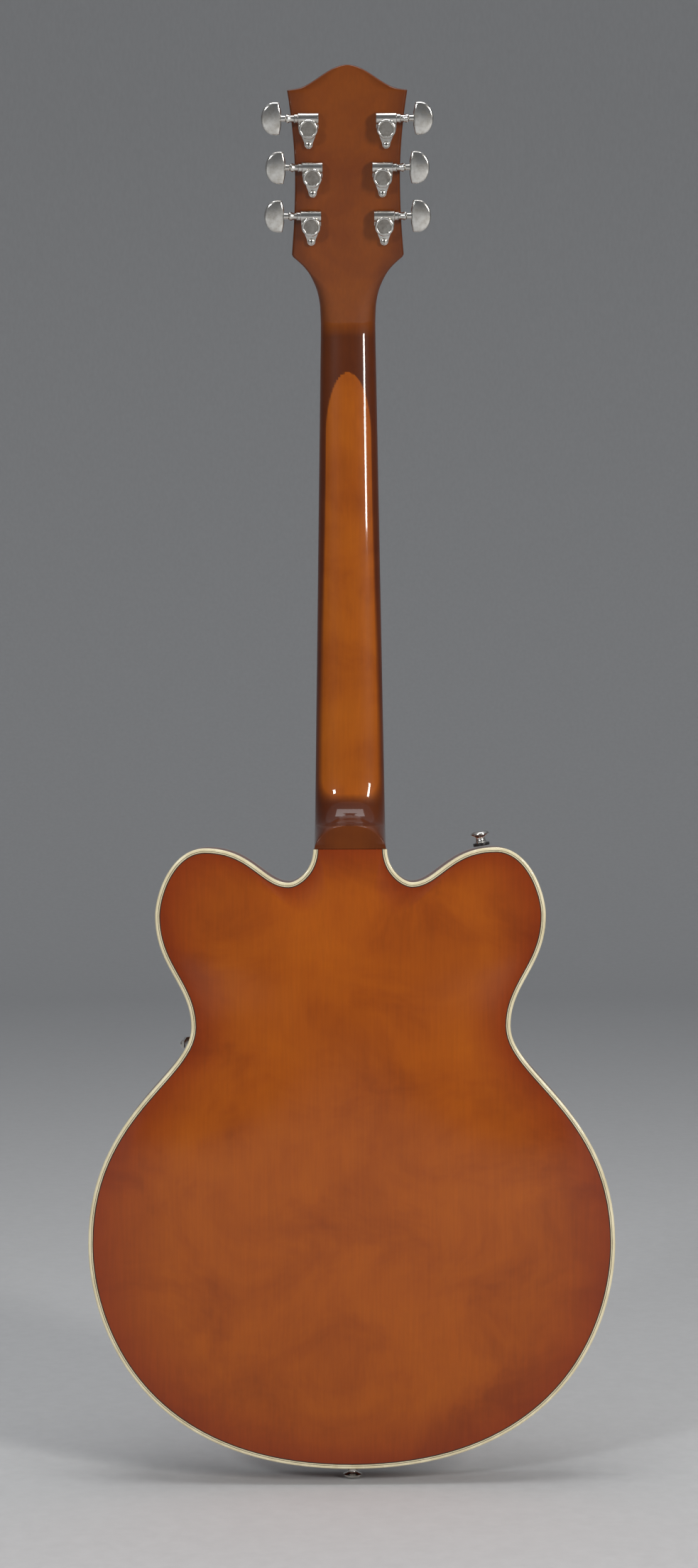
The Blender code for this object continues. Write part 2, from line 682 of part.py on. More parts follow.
def build_neck(frame, head):
    neck = make_object("neck", loft(neck_sections() + head_sections()), MATERIALS["neck"], frame)
    seat = RIM_HALF - BINDING_HEIGHT
    end = -BOARD_OVER_BODY
    tongue_top = -GAP
    profile = [
        (seat, end), (board_underside(end) + tongue_top, end), (board_underside(0.0) + tongue_top, 0.0),
        (board_underside(0.0) - 4 * MM, 6 * MM), (seat, 6 * MM),
    ]
    half = BLOCK_NECK_HALF_WIDTH - GAP
    tongue = make_tool("neck_tongue", prism_x(profile, -half, half), frame)
    half = TENON_HALF_WIDTH
    tenon = make_tool("neck_tenon", box((-half, -9.5 * MM, -TENON_LENGTH), (half, seat + 5 * MM, 9 * MM)), frame)
    join(neck, tongue, tenon)
    start = 20 * MM
    deep = 9 * MM
    floor = head_point(0.0, -7 * MM, 20 * MM)
    mouth = head_point(0.0, 2 * MM, 20 * MM)
    channel = [
        (board_underside(start) + 2 * MM, start), (board_underside(start) - deep, start),
        (board_underside(NUT_Z) - deep, NUT_Z), (floor.y, floor.z), (mouth.y, mouth.z),
        (board_underside(NUT_Z) + 2 * MM, NUT_Z),
    ]
    cut(neck, make_tool("truss_rod_channel", prism_x(channel, -3.3 * MM, 3.3 * MM), frame))
    holes = []
    for along, out in TUNER_ROWS:
        for side in (-1, 1):
            holes.append(hole_y((side * out, along), SLEEVE_RADIUS + 0.55 * MM, -HEAD_THICKNESS - 5 * MM, 5 * MM))
    cut(neck, make_tool("tuner_holes", merged(holes), head))


def build_truss_rod(frame):
    start, end = 26 * MM, NUT_Z - 3 * MM
    slope = math.cos(NECK_ANGLE)
    length = (end - start) / slope
    nut = 12 * MM
    profile = [(0, 0), (2.4 * MM, 0), (2.4 * MM, length - nut), (2.9 * MM, length - nut), (2.9 * MM, length), (0, length)]
    place = (0.0, board_underside(start) - 4.6 * MM, start)
    rod = turned(profile, 8, "Z")
    make_object("truss_rod", rod, MATERIALS["steel"], frame, place, (NECK_ANGLE, 0.0, 0.0))


def fret_places():
    """Heights of the frets, from the first to the last."""
    for fret in range(1, FRET_COUNT + 1):
        yield NUT_Z - SCALE_LENGTH * (1 - 2 ** (-fret / 12)) * math.cos(NECK_ANGLE)


def board_section(z, lift):
    half = board_half_width(z) - 0.2 * MM
    across = [half * share for share in (1.0, 0.5, 0.0, -0.5, -1.0)]
    crown = [board_plane(z) + lift - (BOARD_RADIUS - math.sqrt(BOARD_RADIUS ** 2 - x ** 2)) for x in across]
    under = board_underside(z) + GAP
    return [(half, under, z)] + [(x, y, z) for x, y in zip(across, crown)] + [(-half, under, z)]


def build_fingerboard(frame):
    sections = [board_section(NUT_Z - 0.2 * MM, 0.0)]
    for z in fret_places():
        sections.append(board_section(z + FRET_HALF_WIDTH, 0.0))
        sections.append(board_section(z, FRET_HEIGHT))
        sections.append(board_section(z - FRET_HALF_WIDTH, 0.0))
    sections.append(board_section(-BOARD_OVER_BODY, 0.0))
    make_object("fingerboard", loft(sections), MATERIALS["rosewood"], frame)


def build_nut(frame):
    half = NUT_WIDTH / 2 - 0.3 * MM
    rise = board_plane(NUT_Z) + STRING_ABOVE_BOARD_AT_NUT - 1.0 * MM
    low = board_underside(NUT_Z) + GAP
    near, far = NUT_Z + 0.1 * MM, NUT_Z + NUT_LENGTH
    profile = [(low, near), (rise, near), (rise - 0.3 * MM, near + 2 * MM), (rise - 2.2 * MM, far), (low, far)]
    make_object("nut", prism_x(profile, -half, half), MATERIALS["bone"], frame)


def build_truss_rod_cover(head):
    outline = [(11.5, 2.5), (11.5, 8), (9.5, 16), (6.5, 24), (5.6, 30), (3.6, 35), (0, 37)]
    outline = [(x * MM, z * MM) for x, z in outline]
    outline += [(-x, z) for x, z in reversed(outline[:-1])]
    make_object("truss_rod_cover", prism_y(outline, GAP, 2.1 * MM), MATERIALS["black_plastic"], head)


# Tuners. Each is modelled round its post, in the headstock's frame, for the bass side.
def build_tuner_housing_mesh(head):
    back = -HEAD_THICKNESS - GAP
    end = back - 10.3 * MM
    bore = POST_RADIUS + 0.35 * MM
    chamber = GEAR_RADIUS + 1 * MM
    profile = [
        (0, end), (6.5 * MM, end), (DRUM_RADIUS, end + 0.8 * MM), (DRUM_RADIUS, back), (SLEEVE_RADIUS, back),
        (SLEEVE_RADIUS, GAP), (6.2 * MM, GAP), (6.2 * MM, 1.8 * MM), (bore, 1.8 * MM), (bore, back - 1.2 * MM),
        (chamber, back - 1.2 * MM), (chamber, back - 8.4 * MM), (0, back - 8.4 * MM),
    ]
    housing = make_object("tuner_housing_pattern", turned(profile, 10), MATERIALS["nickel"], head)
    housing.hide_render = True
    housing.display_type = "WIRE"
    shaft_z = TUNER_SHAFT_ABOVE_POST
    shaft_y = -TUNER_SHAFT_DEPTH
    barrel_radius = 4.4 * MM
    barrel = [(back, shaft_z - barrel_radius)]
    barrel += arc((shaft_y, shaft_z), barrel_radius, 270, 90, 6)
    barrel.append((back, shaft_z + barrel_radius))
    half = TUNER_HALF_WIDTH
    barrel = make_tool("worm_barrel", prism_x(barrel, -half, half), head)
    foot_end = -TUNER_SCREW_BELOW_POST
    foot = [(half - 0.1 * MM, shaft_z), (half - 0.1 * MM, 0.5 * MM), (3.4 * MM, foot_end + 1.5 * MM)]
    foot += arc((0.0, foot_end), 3.1 * MM, 0, -180, 4)
    foot += [(-x, z) for x, z in reversed(foot[:3])]
    foot = make_tool("tuner_foot", prism_y(foot, back - 2.4 * MM, back - 0.01 * MM), head)
    screw_head = [(0, 0), (2.5 * MM, 0), (2.5 * MM, -0.9 * MM), (1.6 * MM, -1.6 * MM), (0, -1.8 * MM)]
    screw = make_tool("foot_screw", turned(screw_head, 8), head, (0.0, back - 2.2 * MM, foot_end))
    worm_bore = prism_x(arc((shaft_y, shaft_z), WORM_RADIUS + 0.5 * MM, 0, 324, 9), -6.2 * MM, half + 3 * MM)
    gear_gap = hole_y((0.0, 0.0), chamber, shaft_y - 3.2 * MM, shaft_y + 3.2 * MM)
    sleeve_bore = hole_y((0.0, 0.0), bore, shaft_y, 3 * MM)
    join(housing, barrel, foot, screw)
    cut(housing, make_tool("worm_bore", worm_bore, head), make_tool("gear_chamber", gear_gap, head))
    cut(housing, make_tool("sleeve_bore", sleeve_bore, head))
    return finished_mesh(housing, "tuner_housing")


def build_tuner_button_mesh(head):
    """Worm, shaft and half-moon button in one, round the shaft's axis, which runs along x."""
    worm = 5.4 * MM
    grooves = []
    for k in range(3):
        x = -worm + 2 * worm * k / 3
        grooves += [(WORM_RADIUS, x), (WORM_RADIUS, x + 1.8 * MM), (WORM_RADIUS - 0.7 * MM, x + 2.7 * MM)]
    half = TUNER_HALF_WIDTH
    steps = [
        (WORM_RADIUS, worm), (1.9 * MM, worm + 0.3 * MM), (1.9 * MM, half + GAP), (3.5 * MM, half + GAP),
        (3.5 * MM, half + 2.6 * MM), (2.7 * MM, half + 3.2 * MM), (2.7 * MM, half + 6.5 * MM),
        (3.3 * MM, half + 7.2 * MM), (3.3 * MM, half + 8.8 * MM), (2.3 * MM, half + 9.6 * MM),
        (2.6 * MM, BUTTON_INNER + 3 * MM), (0, BUTTON_INNER + 3 * MM),
    ]
    profile = [(0, -worm)] + grooves + steps
    button = make_object("tuner_button_pattern", turned(profile, 8, "X"), MATERIALS["nickel"], head)
    button.hide_render = True
    button.display_type = "WIRE"
    outline = half_moon(1.0)
    slim = half_moon(0.86)
    thick = BUTTON_THICKNESS / 2
    loops = []
    for points, y in ((slim, -thick), (outline, -thick * 0.55), (outline, thick * 0.55), (slim, thick)):
        loops.append([(x, y, z) for x, z in points])
    join(button, make_tool("button_wing", loft(loops), head))
    return finished_mesh(button, "tuner_button")


def half_moon(scale):
    """Outline of a tuner's button: a flat side towards the headstock and a round one away from it."""
    centre = Vector((BUTTON_INNER + BUTTON_WIDTH * 0.5, 0.0))
    reach_x, reach_z = BUTTON_WIDTH, BUTTON_HEIGHT / 2
    points = [Vector((BUTTON_INNER, -5 * MM)), Vector((BUTTON_INNER, 5 * MM))]
    for k in range(11):
        turn = math.radians(104 - 208 * k / 10)
        x = BUTTON_INNER + reach_x * (0.30 + 0.70 * math.copysign(abs(math.cos(turn)) ** 0.9, math.cos(turn)))
        points.append(Vector((x, reach_z * math.sin(turn))))
    return [tuple(centre + (p - centre) * scale) for p in points]


def build_tuner_post_mesh(head):
    """String post, its worm wheel inside the housing and the turns of string near its top."""
    back = -HEAD_THICKNESS - GAP
    wheel_high = back - 1.9 * MM
    wheel_low = back - 7.6 * MM
    top = 20 * MM
    low, high = WINDING_HEIGHT - 2.2 * MM, WINDING_HEIGHT + 2.2 * MM
    profile = [
        (0, wheel_high - 1 * MM), (POST_RADIUS, wheel_high - 1 * MM), (POST_RADIUS, low), (WINDING_RADIUS, low + 0.4 * MM),
        (WINDING_RADIUS, high - 0.4 * MM), (POST_RADIUS, high), (2.5 * MM, high + 2.5 * MM), (POST_RADIUS, high + 5 * MM),
        (POST_RADIUS, top - 0.8 * MM), (2.2 * MM, top), (0, top),
    ]
    post = make_object("tuner_post_pattern", turned(profile, 8), MATERIALS["nickel"], head)
    post.hide_render = True
    post.display_type = "WIRE"
    teeth = []
    for k in range(2 * GEAR_TEETH):
        radius = GEAR_RADIUS if k % 2 == 0 else GEAR_RADIUS - 0.9 * MM
        turn = math.pi * k / GEAR_TEETH
        teeth.append((radius * math.cos(turn), radius * math.sin(turn)))
    join(post, make_tool("worm_wheel", prism_y(teeth, wheel_low, wheel_high), head))
    return finished_mesh(post, "tuner_post")


def build_tuners(head):
    patterns = {
        "housing": build_tuner_housing_mesh(head),
        "button": build_tuner_button_mesh(head),
        "post": build_tuner_post_mesh(head),
    }
    shaft = Vector((0.0, -TUNER_SHAFT_DEPTH, TUNER_SHAFT_ABOVE_POST))
    for side, side_name in ((1, "bass"), (-1, "treble")):
        for row, (along, out) in enumerate(TUNER_ROWS, start=1):
            place = Vector((side * out, 0.0, along))
            for part, mesh in patterns.items():
                if side < 0:
                    mesh = mirrored_mesh(mesh, f"{mesh.name}_treble")
                at = place + shaft if part == "button" else place
                make_object(f"tuner_{part}_{side_name}_{row}", mesh, MATERIALS["nickel"], head, at)


# Strings, bridge and tailpiece.
def string_height(z, x):
    """Height of a string's centre line above the middle of the rim."""
    along = (NUT_Z - z) / (NUT_Z - BRIDGE_Z)
    lift = STRING_ABOVE_BOARD_AT_NUT + (STRING_ABOVE_BOARD_AT_BRIDGE - STRING_ABOVE_BOARD_AT_NUT) * along
    return board_plane(z) + lift - x * x / (2 * BOARD_RADIUS)


def string_place(number, spread):
    return spread * (0.5 - number / 5)


def build_strings(frame):
    """Six strings from the tailpiece over the bridge and the nut to the posts."""
    tail_z = BRIDGE_Z - TAIL_BEHIND_BRIDGE + TAIL_HALF_WIDTH + GAP
    for number, diameter in enumerate(STRING_DIAMETERS):
        side = 1 if number < 3 else -1
        row = number if number < 3 else 5 - number
        along, out = TUNER_ROWS[row]
        radius = diameter / 2
        x_bridge = string_place(number, BRIDGE_SPREAD)
        x_nut = string_place(number, NUT_SPREAD)
        break_z = BRIDGE_Z - STRING_BREAK
        nut_z = NUT_Z + 1.5 * MM
        x_post = side * (out - WINDING_RADIUS - radius - GAP)
        path = [
            (x_bridge, TAIL_BOTTOM + 5 * MM, tail_z),
            (x_bridge, string_height(break_z, x_bridge), break_z),
            (x_nut, string_height(nut_z, x_nut) + radius, nut_z),
            head_point(x_post, WINDING_HEIGHT, along),
        ]
        make_object(f"string_{number + 1}", tube(path, radius, 6), MATERIALS["steel"], frame)


def build_bridge(frame):
    half = BRIDGE_HALF_WIDTH
    outline = rounded_rectangle(BRIDGE_HALF_LENGTH, half, half - 0.2 * MM, 3)
    bridge = prism_y(outline, BRIDGE_BOTTOM, BRIDGE_TOP)
    bridge = make_object("bridge", bridge, MATERIALS["nickel"], frame, (0.0, 0.0, BRIDGE_Z))
    reach = (BRIDGE_CHANNEL_HALF_LENGTH, BRIDGE_CHANNEL_HALF_WIDTH)
    channel = box((-reach[0], BRIDGE_BOTTOM + 3.5 * MM, -reach[1]), (reach[0], BRIDGE_TOP + 5 * MM, reach[1]))
    holes = [hole_y((side * BRIDGE_POST_X, 0.0), 2.7 * MM, 30 * MM, BRIDGE_BOTTOM + 6 * MM) for side in (-1, 1)]
    cutter = make_tool("bridge_channel", merged([channel] + holes), frame, (0.0, 0.0, BRIDGE_Z))
    cut(bridge, cutter)
    for side, name in ((1, "bass"), (-1, "treble")):
        surface = top_surface(BRIDGE_POST_X, BRIDGE_Z)
        wheel = BRIDGE_BOTTOM - 2.8 * MM
        profile = [
            (0, 9 * MM), (2.9 * MM, 9 * MM), (2.9 * MM, surface - 3 * MM), (2.9 * MM, wheel), (9 * MM, wheel),
            (9 * MM, wheel + 2.4 * MM), (2.3 * MM, wheel + 2.4 * MM), (2.3 * MM, BRIDGE_BOTTOM + 5 * MM),
            (0, BRIDGE_BOTTOM + 5 * MM),
        ]
        place = (side * BRIDGE_POST_X, 0.0, BRIDGE_Z)
        make_object(f"bridge_post_{name}", turned(profile, 14), MATERIALS["nickel"], frame, place)


def build_saddles(frame):
    for number, diameter in enumerate(STRING_DIAMETERS):
        x = string_place(number, BRIDGE_SPREAD)
        z = BRIDGE_Z - SADDLE_SETBACK[number]
        top = string_height(BRIDGE_Z - STRING_BREAK, x) - diameter / 2 - 0.45 * MM
        half = SADDLE_HALF_LENGTH
        low = BRIDGE_BOTTOM + 3.8 * MM
        profile = [
            (low, -half), (low, half), (top - 2.2 * MM, half), (top, 0.4 * MM), (top, -0.4 * MM), (top - 2.2 * MM, -half),
        ]
        saddle = prism_x(profile, -SADDLE_HALF_WIDTH, SADDLE_HALF_WIDTH)
        make_object(f"saddle_{number + 1}", saddle, MATERIALS["nickel"], frame, (x, 0.0, z))


def build_tailpiece(frame):
    z = BRIDGE_Z - TAIL_BEHIND_BRIDGE
    width, low, high = TAIL_HALF_WIDTH, TAIL_BOTTOM, TAIL_TOP
    profile = [
        (low, -width + 2 * MM), (low, width - 1 * MM), (low + 1 * MM, width), (high - 3.5 * MM, width),
        (high - 1 * MM, width - 2.5 * MM), (high, 1 * MM), (high - 0.8 * MM, -width + 3.5 * MM), (low + 3 * MM, -width),
    ]
    bar = prism_x(profile, -TAIL_HALF_LENGTH, TAIL_HALF_LENGTH)
    bar = make_object("tailpiece", bar, MATERIALS["nickel"], frame, (0.0, 0.0, z))
    for side, name in ((1, "bass"), (-1, "treble")):
        surface = top_surface(TAIL_STUD_X, z)
        profile = [
            (0, 4 * MM), (5.6 * MM, 4 * MM), (5.6 * MM, surface + 0.4 * MM), (4 * MM, surface + 0.4 * MM),
            (4 * MM, high - 1 * MM), (6.6 * MM, high - 0.6 * MM), (6.6 * MM, high + 1.8 * MM), (0, high + 2.2 * MM),
        ]
        join(bar, make_tool(f"tail_stud_{name}", turned(profile, 12), frame, (side * TAIL_STUD_X, 0.0, z)))


# Pickups, controls, guard and strap buttons.
def build_pickups(frame):
    for name, (z, top, ring_top) in PICKUPS.items():
        outline = rounded_rectangle(PICKUP_HALF_LENGTH, PICKUP_HALF_WIDTH, 3 * MM, 2)
        slim = rounded_rectangle(PICKUP_HALF_LENGTH - 1 * MM, PICKUP_HALF_WIDTH - 1 * MM, 2.4 * MM, 2)
        loops = [
            [(x, top - PICKUP_DEPTH, c) for x, c in outline], [(x, top - 1 * MM, c) for x, c in outline],
            [(x, top, c) for x, c in slim],
        ]
        make_object(f"pickup_{name}", loft(loops), MATERIALS["nickel"], frame, (0.0, 0.0, z))
        outer = rounded_rectangle(RING_HALF_LENGTH, RING_HALF_WIDTH, 4 * MM, 2, 6, 2)
        inner = rounded_rectangle(PICKUP_HALF_LENGTH + 0.5 * MM, PICKUP_HALF_WIDTH + 0.5 * MM, 3.2 * MM, 2, 6, 2)
        foot = [[(x, top_surface(x, z + c) + RING_CLEARANCE, c) for x, c in edge] for edge in (outer, inner)]
        rim = [[(x, ring_top, c) for x, c in edge] for edge in (outer, inner)]
        loops = [foot[0], rim[0], rim[1], foot[1]]
        make_object(f"pickup_ring_{name}", loft(loops, closed=True), MATERIALS["black_plastic"], frame, (0.0, 0.0, z))


def pot_levels(place):
    """Heights of a control's case, its bushing and the floor of the bushing's bore."""
    surface = top_surface(place.x, place.y)
    case_top = surface - PLATE_THICKNESS - 2 * MM
    return surface, case_top, case_top - POT_DEPTH


def build_knobs(frame):
    for name, place in KNOBS.items():
        surface, case_top, _ = pot_levels(place)
        base = surface + 2.6 * MM
        shaft = 2.9 * MM
        profile = [
            (0, case_top - 1.5 * MM), (shaft, case_top - 1.5 * MM), (shaft, base), (KNOB_RADIUS, base),
            (KNOB_RADIUS, base + 2.5 * MM), (KNOB_RADIUS - 2.2 * MM, base + 6 * MM),
            (KNOB_RADIUS - 2.8 * MM, base + KNOB_HEIGHT - 0.8 * MM), (KNOB_RADIUS - 4 * MM, base + KNOB_HEIGHT),
            (0, base + KNOB_HEIGHT),
        ]
        at = (place.x, 0.0, place.y)
        make_object(f"knob_{name}", turned(profile, 16), MATERIALS["amber"], frame, at)


def build_control_harness(frame):
    """The three potentiometers, which their ground wire ties together, inside the treble chamber."""
    cans = []
    for name, place in KNOBS.items():
        surface, case_top, case_low = pot_levels(place)
        bore = 3.3 * MM
        profile = [
            (bore, surface + 1.2 * MM), (4.7 * MM, surface + 1.2 * MM), (4.7 * MM, case_top), (POT_RADIUS, case_top),
            (POT_RADIUS, case_low), (0, case_low), (0, case_top - 2 * MM), (bore, case_top - 2 * MM),
        ]
        at = Vector((place.x, 0.0, place.y))
        cans.append((turned(profile, 12), at, case_low))
    harness = make_object("control_harness", cans[0][0], MATERIALS["steel"], frame, cans[0][1])
    for number, (can, at, _) in enumerate(cans[1:], start=2):
        join(harness, make_tool(f"potentiometer_{number}", can, frame, at))
    stops = [Vector((at.x, low + 2.2 * MM, at.z)) for _, at, low in (cans[0], cans[2], cans[1])]
    for number, (here, there) in enumerate(zip(stops, stops[1:]), start=1):
        join(harness, make_tool(f"ground_wire_{number}", tube([here, there], 1.3 * MM, 6), frame))


def build_toggle(frame):
    surface = top_surface(TOGGLE_PLACE.x, TOGGLE_PLACE.y)
    under = surface - PLATE_THICKNESS - 2 * MM
    bore = 4.1 * MM
    profile = [
        (bore, surface + 3 * MM), (7 * MM, surface + 3 * MM), (10 * MM, surface + 1.8 * MM), (10 * MM, surface + 1.4 * MM),
        (6.2 * MM, surface + 1.4 * MM), (6.2 * MM, under), (10 * MM, under), (10 * MM, under - 16 * MM),
        (0, under - 16 * MM), (0, surface - 9 * MM), (bore, surface - 9 * MM),
    ]
    place = (TOGGLE_PLACE.x, 0.0, TOGGLE_PLACE.y)
    make_object("toggle_switch", turned(profile, 12), MATERIALS["nickel"], frame, place)
    profile = [
        (0, -3 * MM), (2 * MM, -2.2 * MM), (2.8 * MM, 0), (2 * MM, 2.2 * MM), (1.3 * MM, 3 * MM), (1.3 * MM, 13 * MM),
        (2.6 * MM, 13.4 * MM), (3.9 * MM, 17.5 * MM), (3.2 * MM, 20.5 * MM), (1.4 * MM, 22 * MM), (0, 22.2 * MM),
    ]
    pivot = (TOGGLE_PLACE.x, surface - 4 * MM, TOGGLE_PLACE.y)
    make_object("toggle_lever", turned(profile, 10), MATERIALS["cream_plastic"], frame, pivot)


def build_output_jack(frame):
    surface = top_surface(JACK_PLACE.x, JACK_PLACE.y)
    under = surface - PLATE_THICKNESS - 2 * MM
    bore = 3.2 * MM
    profile = [
        (bore, surface + 4.4 * MM), (6.6 * MM, surface + 4.4 * MM), (6.6 * MM, surface + 2 * MM),
        (8.6 * MM, surface + 2.2 * MM), (8.6 * MM, surface + 1.4 * MM), (4.8 * MM, surface + 1.4 * MM), (4.8 * MM, under),
        (7.5 * MM, under), (7.5 * MM, under - 20 * MM), (bore, under - 20 * MM),
    ]
    place = (JACK_PLACE.x, 0.0, JACK_PLACE.y)
    make_object("output_jack", turned(profile, 12), MATERIALS["nickel"], frame, place)


def strap_button_shape():
    washer, flange = STRAP_WASHER_RADIUS, STRAP_FLANGE_RADIUS
    profile = [
        (0, 0), (washer, 0), (washer, 2.8 * MM), (4.6 * MM, 2.9 * MM), (3.7 * MM, 5.5 * MM), (4.6 * MM, 7.8 * MM),
        (flange, 8.6 * MM), (flange, 9.8 * MM), (5 * MM, 11.3 * MM), (0, 11.3 * MM),
    ]
    return turned(profile, 14, "Z")


def build_strap_buttons(frame):
    clear = 0.6 * MM
    lean = Vector((-math.sin(STRAP_HORN_TILT), 0.0, math.cos(STRAP_HORN_TILT)))
    place = Vector((STRAP_HORN_PLACE.x, 0.0, STRAP_HORN_PLACE.y)) + lean * clear
    rotation = (0.0, -STRAP_HORN_TILT, 0.0)
    make_object("strap_button_horn", strap_button_shape(), MATERIALS["nickel"], frame, place, rotation)
    place = (0.0, 0.0, -BODY_LENGTH - GAP)
    make_object("strap_button_end", strap_button_shape(), MATERIALS["nickel"], frame, place, (math.pi, 0.0, 0.0))


def build_pickguard(frame):
    """A floating guard on the treble side of the pickups, with its bracket to the rim at the waist."""
    inner = -RING_HALF_LENGTH - 1.2 * MM
    points = [Vector((inner, -30 * MM)), Vector((inner, -218 * MM))]
    lower = interpolate_bezier(points[1], Vector((-60 * MM, -222 * MM)), Vector((-76 * MM, -205 * MM)),
                               Vector((-84 * MM, -165 * MM)), 6)
    upper = interpolate_bezier(Vector((-84 * MM, -165 * MM)), Vector((-92 * MM, -120 * MM)),
                               Vector((-72 * MM, -30 * MM)), points[0], 8)
    outline = [(p[0], p[1]) for p in lower] + [(p[0], p[1]) for p in upper[1:]]
    low = GUARD_BOTTOM
    make_object("pickguard", prism_y(outline, low, low + GUARD_THICKNESS), MATERIALS["guard"], frame)
    thick = 1.6 * MM
    side = -131.2 * MM
    under = low - GAP
    outside = [(-66 * MM, under), (-118 * MM, under), (side + 3 * MM, 30 * MM), (side, 26 * MM), (side, -8 * MM)]
    inside = [(side + thick, -8 * MM), (side + thick, 25.4 * MM), (side + 3.6 * MM, 28.6 * MM)]
    inside += [(-117.4 * MM, under - thick), (-66 * MM, under - thick)]
    width = BRACKET_HALF_WIDTH
    strap = prism_z(outside + inside, -width, width)
    place = (0.0, 0.0, BRACKET_Z)
    bracket = make_object("pickguard_bracket", strap, MATERIALS["nickel"], frame, place)
    head = [(0, 0), (2.9 * MM, 0), (2.9 * MM, -0.8 * MM), (1.6 * MM, -1.9 * MM), (0, -2.1 * MM)]
    screw = make_tool("bracket_screw", turned(head, 8, "X"), frame, (side + 0.4 * MM, 0.0, BRACKET_Z))
    join(bracket, screw)


MATERIALS = {}


def build_materials():
    looks = {
        "guide": ((0.8, 0.2, 0.8), 0.5, 0.0),
        "back": ((0.36, 0.07, 0.006), 0.12, 0.0),
        "maple": ((0.33, 0.065, 0.006), 0.14, 0.0),
        "block": ((0.62, 0.45, 0.26), 0.6, 0.0),
        "binding": ((0.76, 0.68, 0.43), 0.25, 0.0),
        "neck": ((0.2, 0.035, 0.004), 0.14, 0.0),
        "rosewood": ((0.06, 0.025, 0.015), 0.5, 0.0),
        "bone": ((0.82, 0.78, 0.66), 0.35, 0.0),
        "steel": ((0.6, 0.6, 0.6), 0.3, 1.0),
        "nickel": ((0.72, 0.7, 0.67), 0.15, 1.0),
        "black_plastic": ((0.012, 0.012, 0.012), 0.3, 0.0),
        "cream_plastic": ((0.72, 0.64, 0.45), 0.3, 0.0),
        "amber": ((0.35, 0.16, 0.02), 0.2, 0.0),
        "guard": ((0.02, 0.018, 0.016), 0.18, 0.0),
    }
    for name, (colour, roughness, metallic) in looks.items():
        MATERIALS[name] = make_material(name, colour, roughness, metallic)


def build_guitar():
    clear_scene()
    build_materials()
    frame = make_empty("body_frame", -SEAT)
    head = make_empty("head_frame", HEAD_ORIGIN, HEAD_TILT, frame)
    build_rim(frame)
    build_bindings(frame)
    build_plates(frame)
    build_center_block(frame)
    build_neck(frame, head)
    build_truss_rod(frame)
    build_fingerboard(frame)
    build_nut(frame)
    build_truss_rod_cover(head)
    build_tuners(head)
    build_strings(frame)
    build_bridge(frame)
    build_saddles(frame)
    build_tailpiece(frame)
    build_pickups(frame)
    build_knobs(frame)
    build_control_harness(frame)
    build_toggle(frame)
    build_output_jack(frame)
    build_strap_buttons(frame)
    build_pickguard(frame)


build_guitar()
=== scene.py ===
"""Scene for the semi-hollow guitar seen from behind.

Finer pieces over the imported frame, then materials, light and camera.
"""
import json
import math

import bmesh
import bpy
import numpy
from mathutils import Matrix, Vector
from mathutils.geometry import interpolate_bezier


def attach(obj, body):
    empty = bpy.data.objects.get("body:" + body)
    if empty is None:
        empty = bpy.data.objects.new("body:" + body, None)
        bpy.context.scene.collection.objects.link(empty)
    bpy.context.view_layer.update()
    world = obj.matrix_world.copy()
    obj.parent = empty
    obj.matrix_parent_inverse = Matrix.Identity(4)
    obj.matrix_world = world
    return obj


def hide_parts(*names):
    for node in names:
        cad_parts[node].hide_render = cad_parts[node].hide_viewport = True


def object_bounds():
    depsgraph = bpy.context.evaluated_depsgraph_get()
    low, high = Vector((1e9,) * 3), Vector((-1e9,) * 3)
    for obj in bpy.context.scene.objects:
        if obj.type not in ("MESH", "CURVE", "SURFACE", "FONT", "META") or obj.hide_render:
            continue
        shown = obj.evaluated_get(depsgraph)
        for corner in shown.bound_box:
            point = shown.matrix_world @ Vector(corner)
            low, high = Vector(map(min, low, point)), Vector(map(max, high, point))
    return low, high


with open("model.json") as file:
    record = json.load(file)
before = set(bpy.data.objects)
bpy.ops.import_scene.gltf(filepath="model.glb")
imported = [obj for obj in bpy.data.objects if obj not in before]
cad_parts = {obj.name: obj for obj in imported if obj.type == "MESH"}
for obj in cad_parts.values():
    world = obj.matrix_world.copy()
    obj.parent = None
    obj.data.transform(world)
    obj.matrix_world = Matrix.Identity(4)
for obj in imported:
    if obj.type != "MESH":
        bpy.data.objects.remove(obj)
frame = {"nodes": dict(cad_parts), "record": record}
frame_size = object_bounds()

FINER = 4
# Name of the value at each vertex that a lacquered wood reads: 0 is the dark edge and 1 the light middle. On
# the neck the dark end is painted shade, on its sides and in the hollow above the heel.
SHADE = "inward"

MM = 0.001
GAP = 0.3 * MM

# Body. Half of its outline from the heel of the neck to the tail, bass side.
# Each knot: point, direction of travel, reach of the curve before it, reach after it, steps to the next one.
BODY_LENGTH = 478 * MM
BODY_HALF_WIDTH = 203.2 * MM
HEEL_HALF_WIDTH = 28.5 * MM
DOWN = Vector((0.0, -1.0))
OUT = Vector((1.0, 0.0))
OUTLINE_KNOTS = [
    (Vector((HEEL_HALF_WIDTH, 0.0)), DOWN, 0.0, 17 * MM, 4),
    (Vector((47.7 * MM, -25.9 * MM)), OUT, 6 * MM, 19 * MM, 6),
    (Vector((112.0 * MM, 0.9 * MM)), OUT, 36 * MM, 26.5 * MM, 7),
    (Vector((150.7 * MM, -51.6 * MM)), DOWN, 17.2 * MM, 39 * MM, 6),
    (Vector((123.1 * MM, -137.0 * MM)), DOWN, 32.5 * MM, 38 * MM, 7),
    (Vector((BODY_HALF_WIDTH, -304.0 * MM)), DOWN, 101 * MM, 65 * MM, 10),
    (Vector((0.0, -BODY_LENGTH)), -OUT, 162 * MM, 0.0, 0),
]
RIM_DEPTH = 44.5 * MM
RIM_HALF = RIM_DEPTH / 2
RIM_WALL = 7 * MM
TOP_ARCH = 10 * MM
BACK_ARCH = 8 * MM
PLATE_THICKNESS = 4.5 * MM
BINDING_WIDTH = 3.8 * MM
BINDING_HEIGHT = 5 * MM
SPINE_HIGH = -100 * MM
SPINE_LOW = -330 * MM
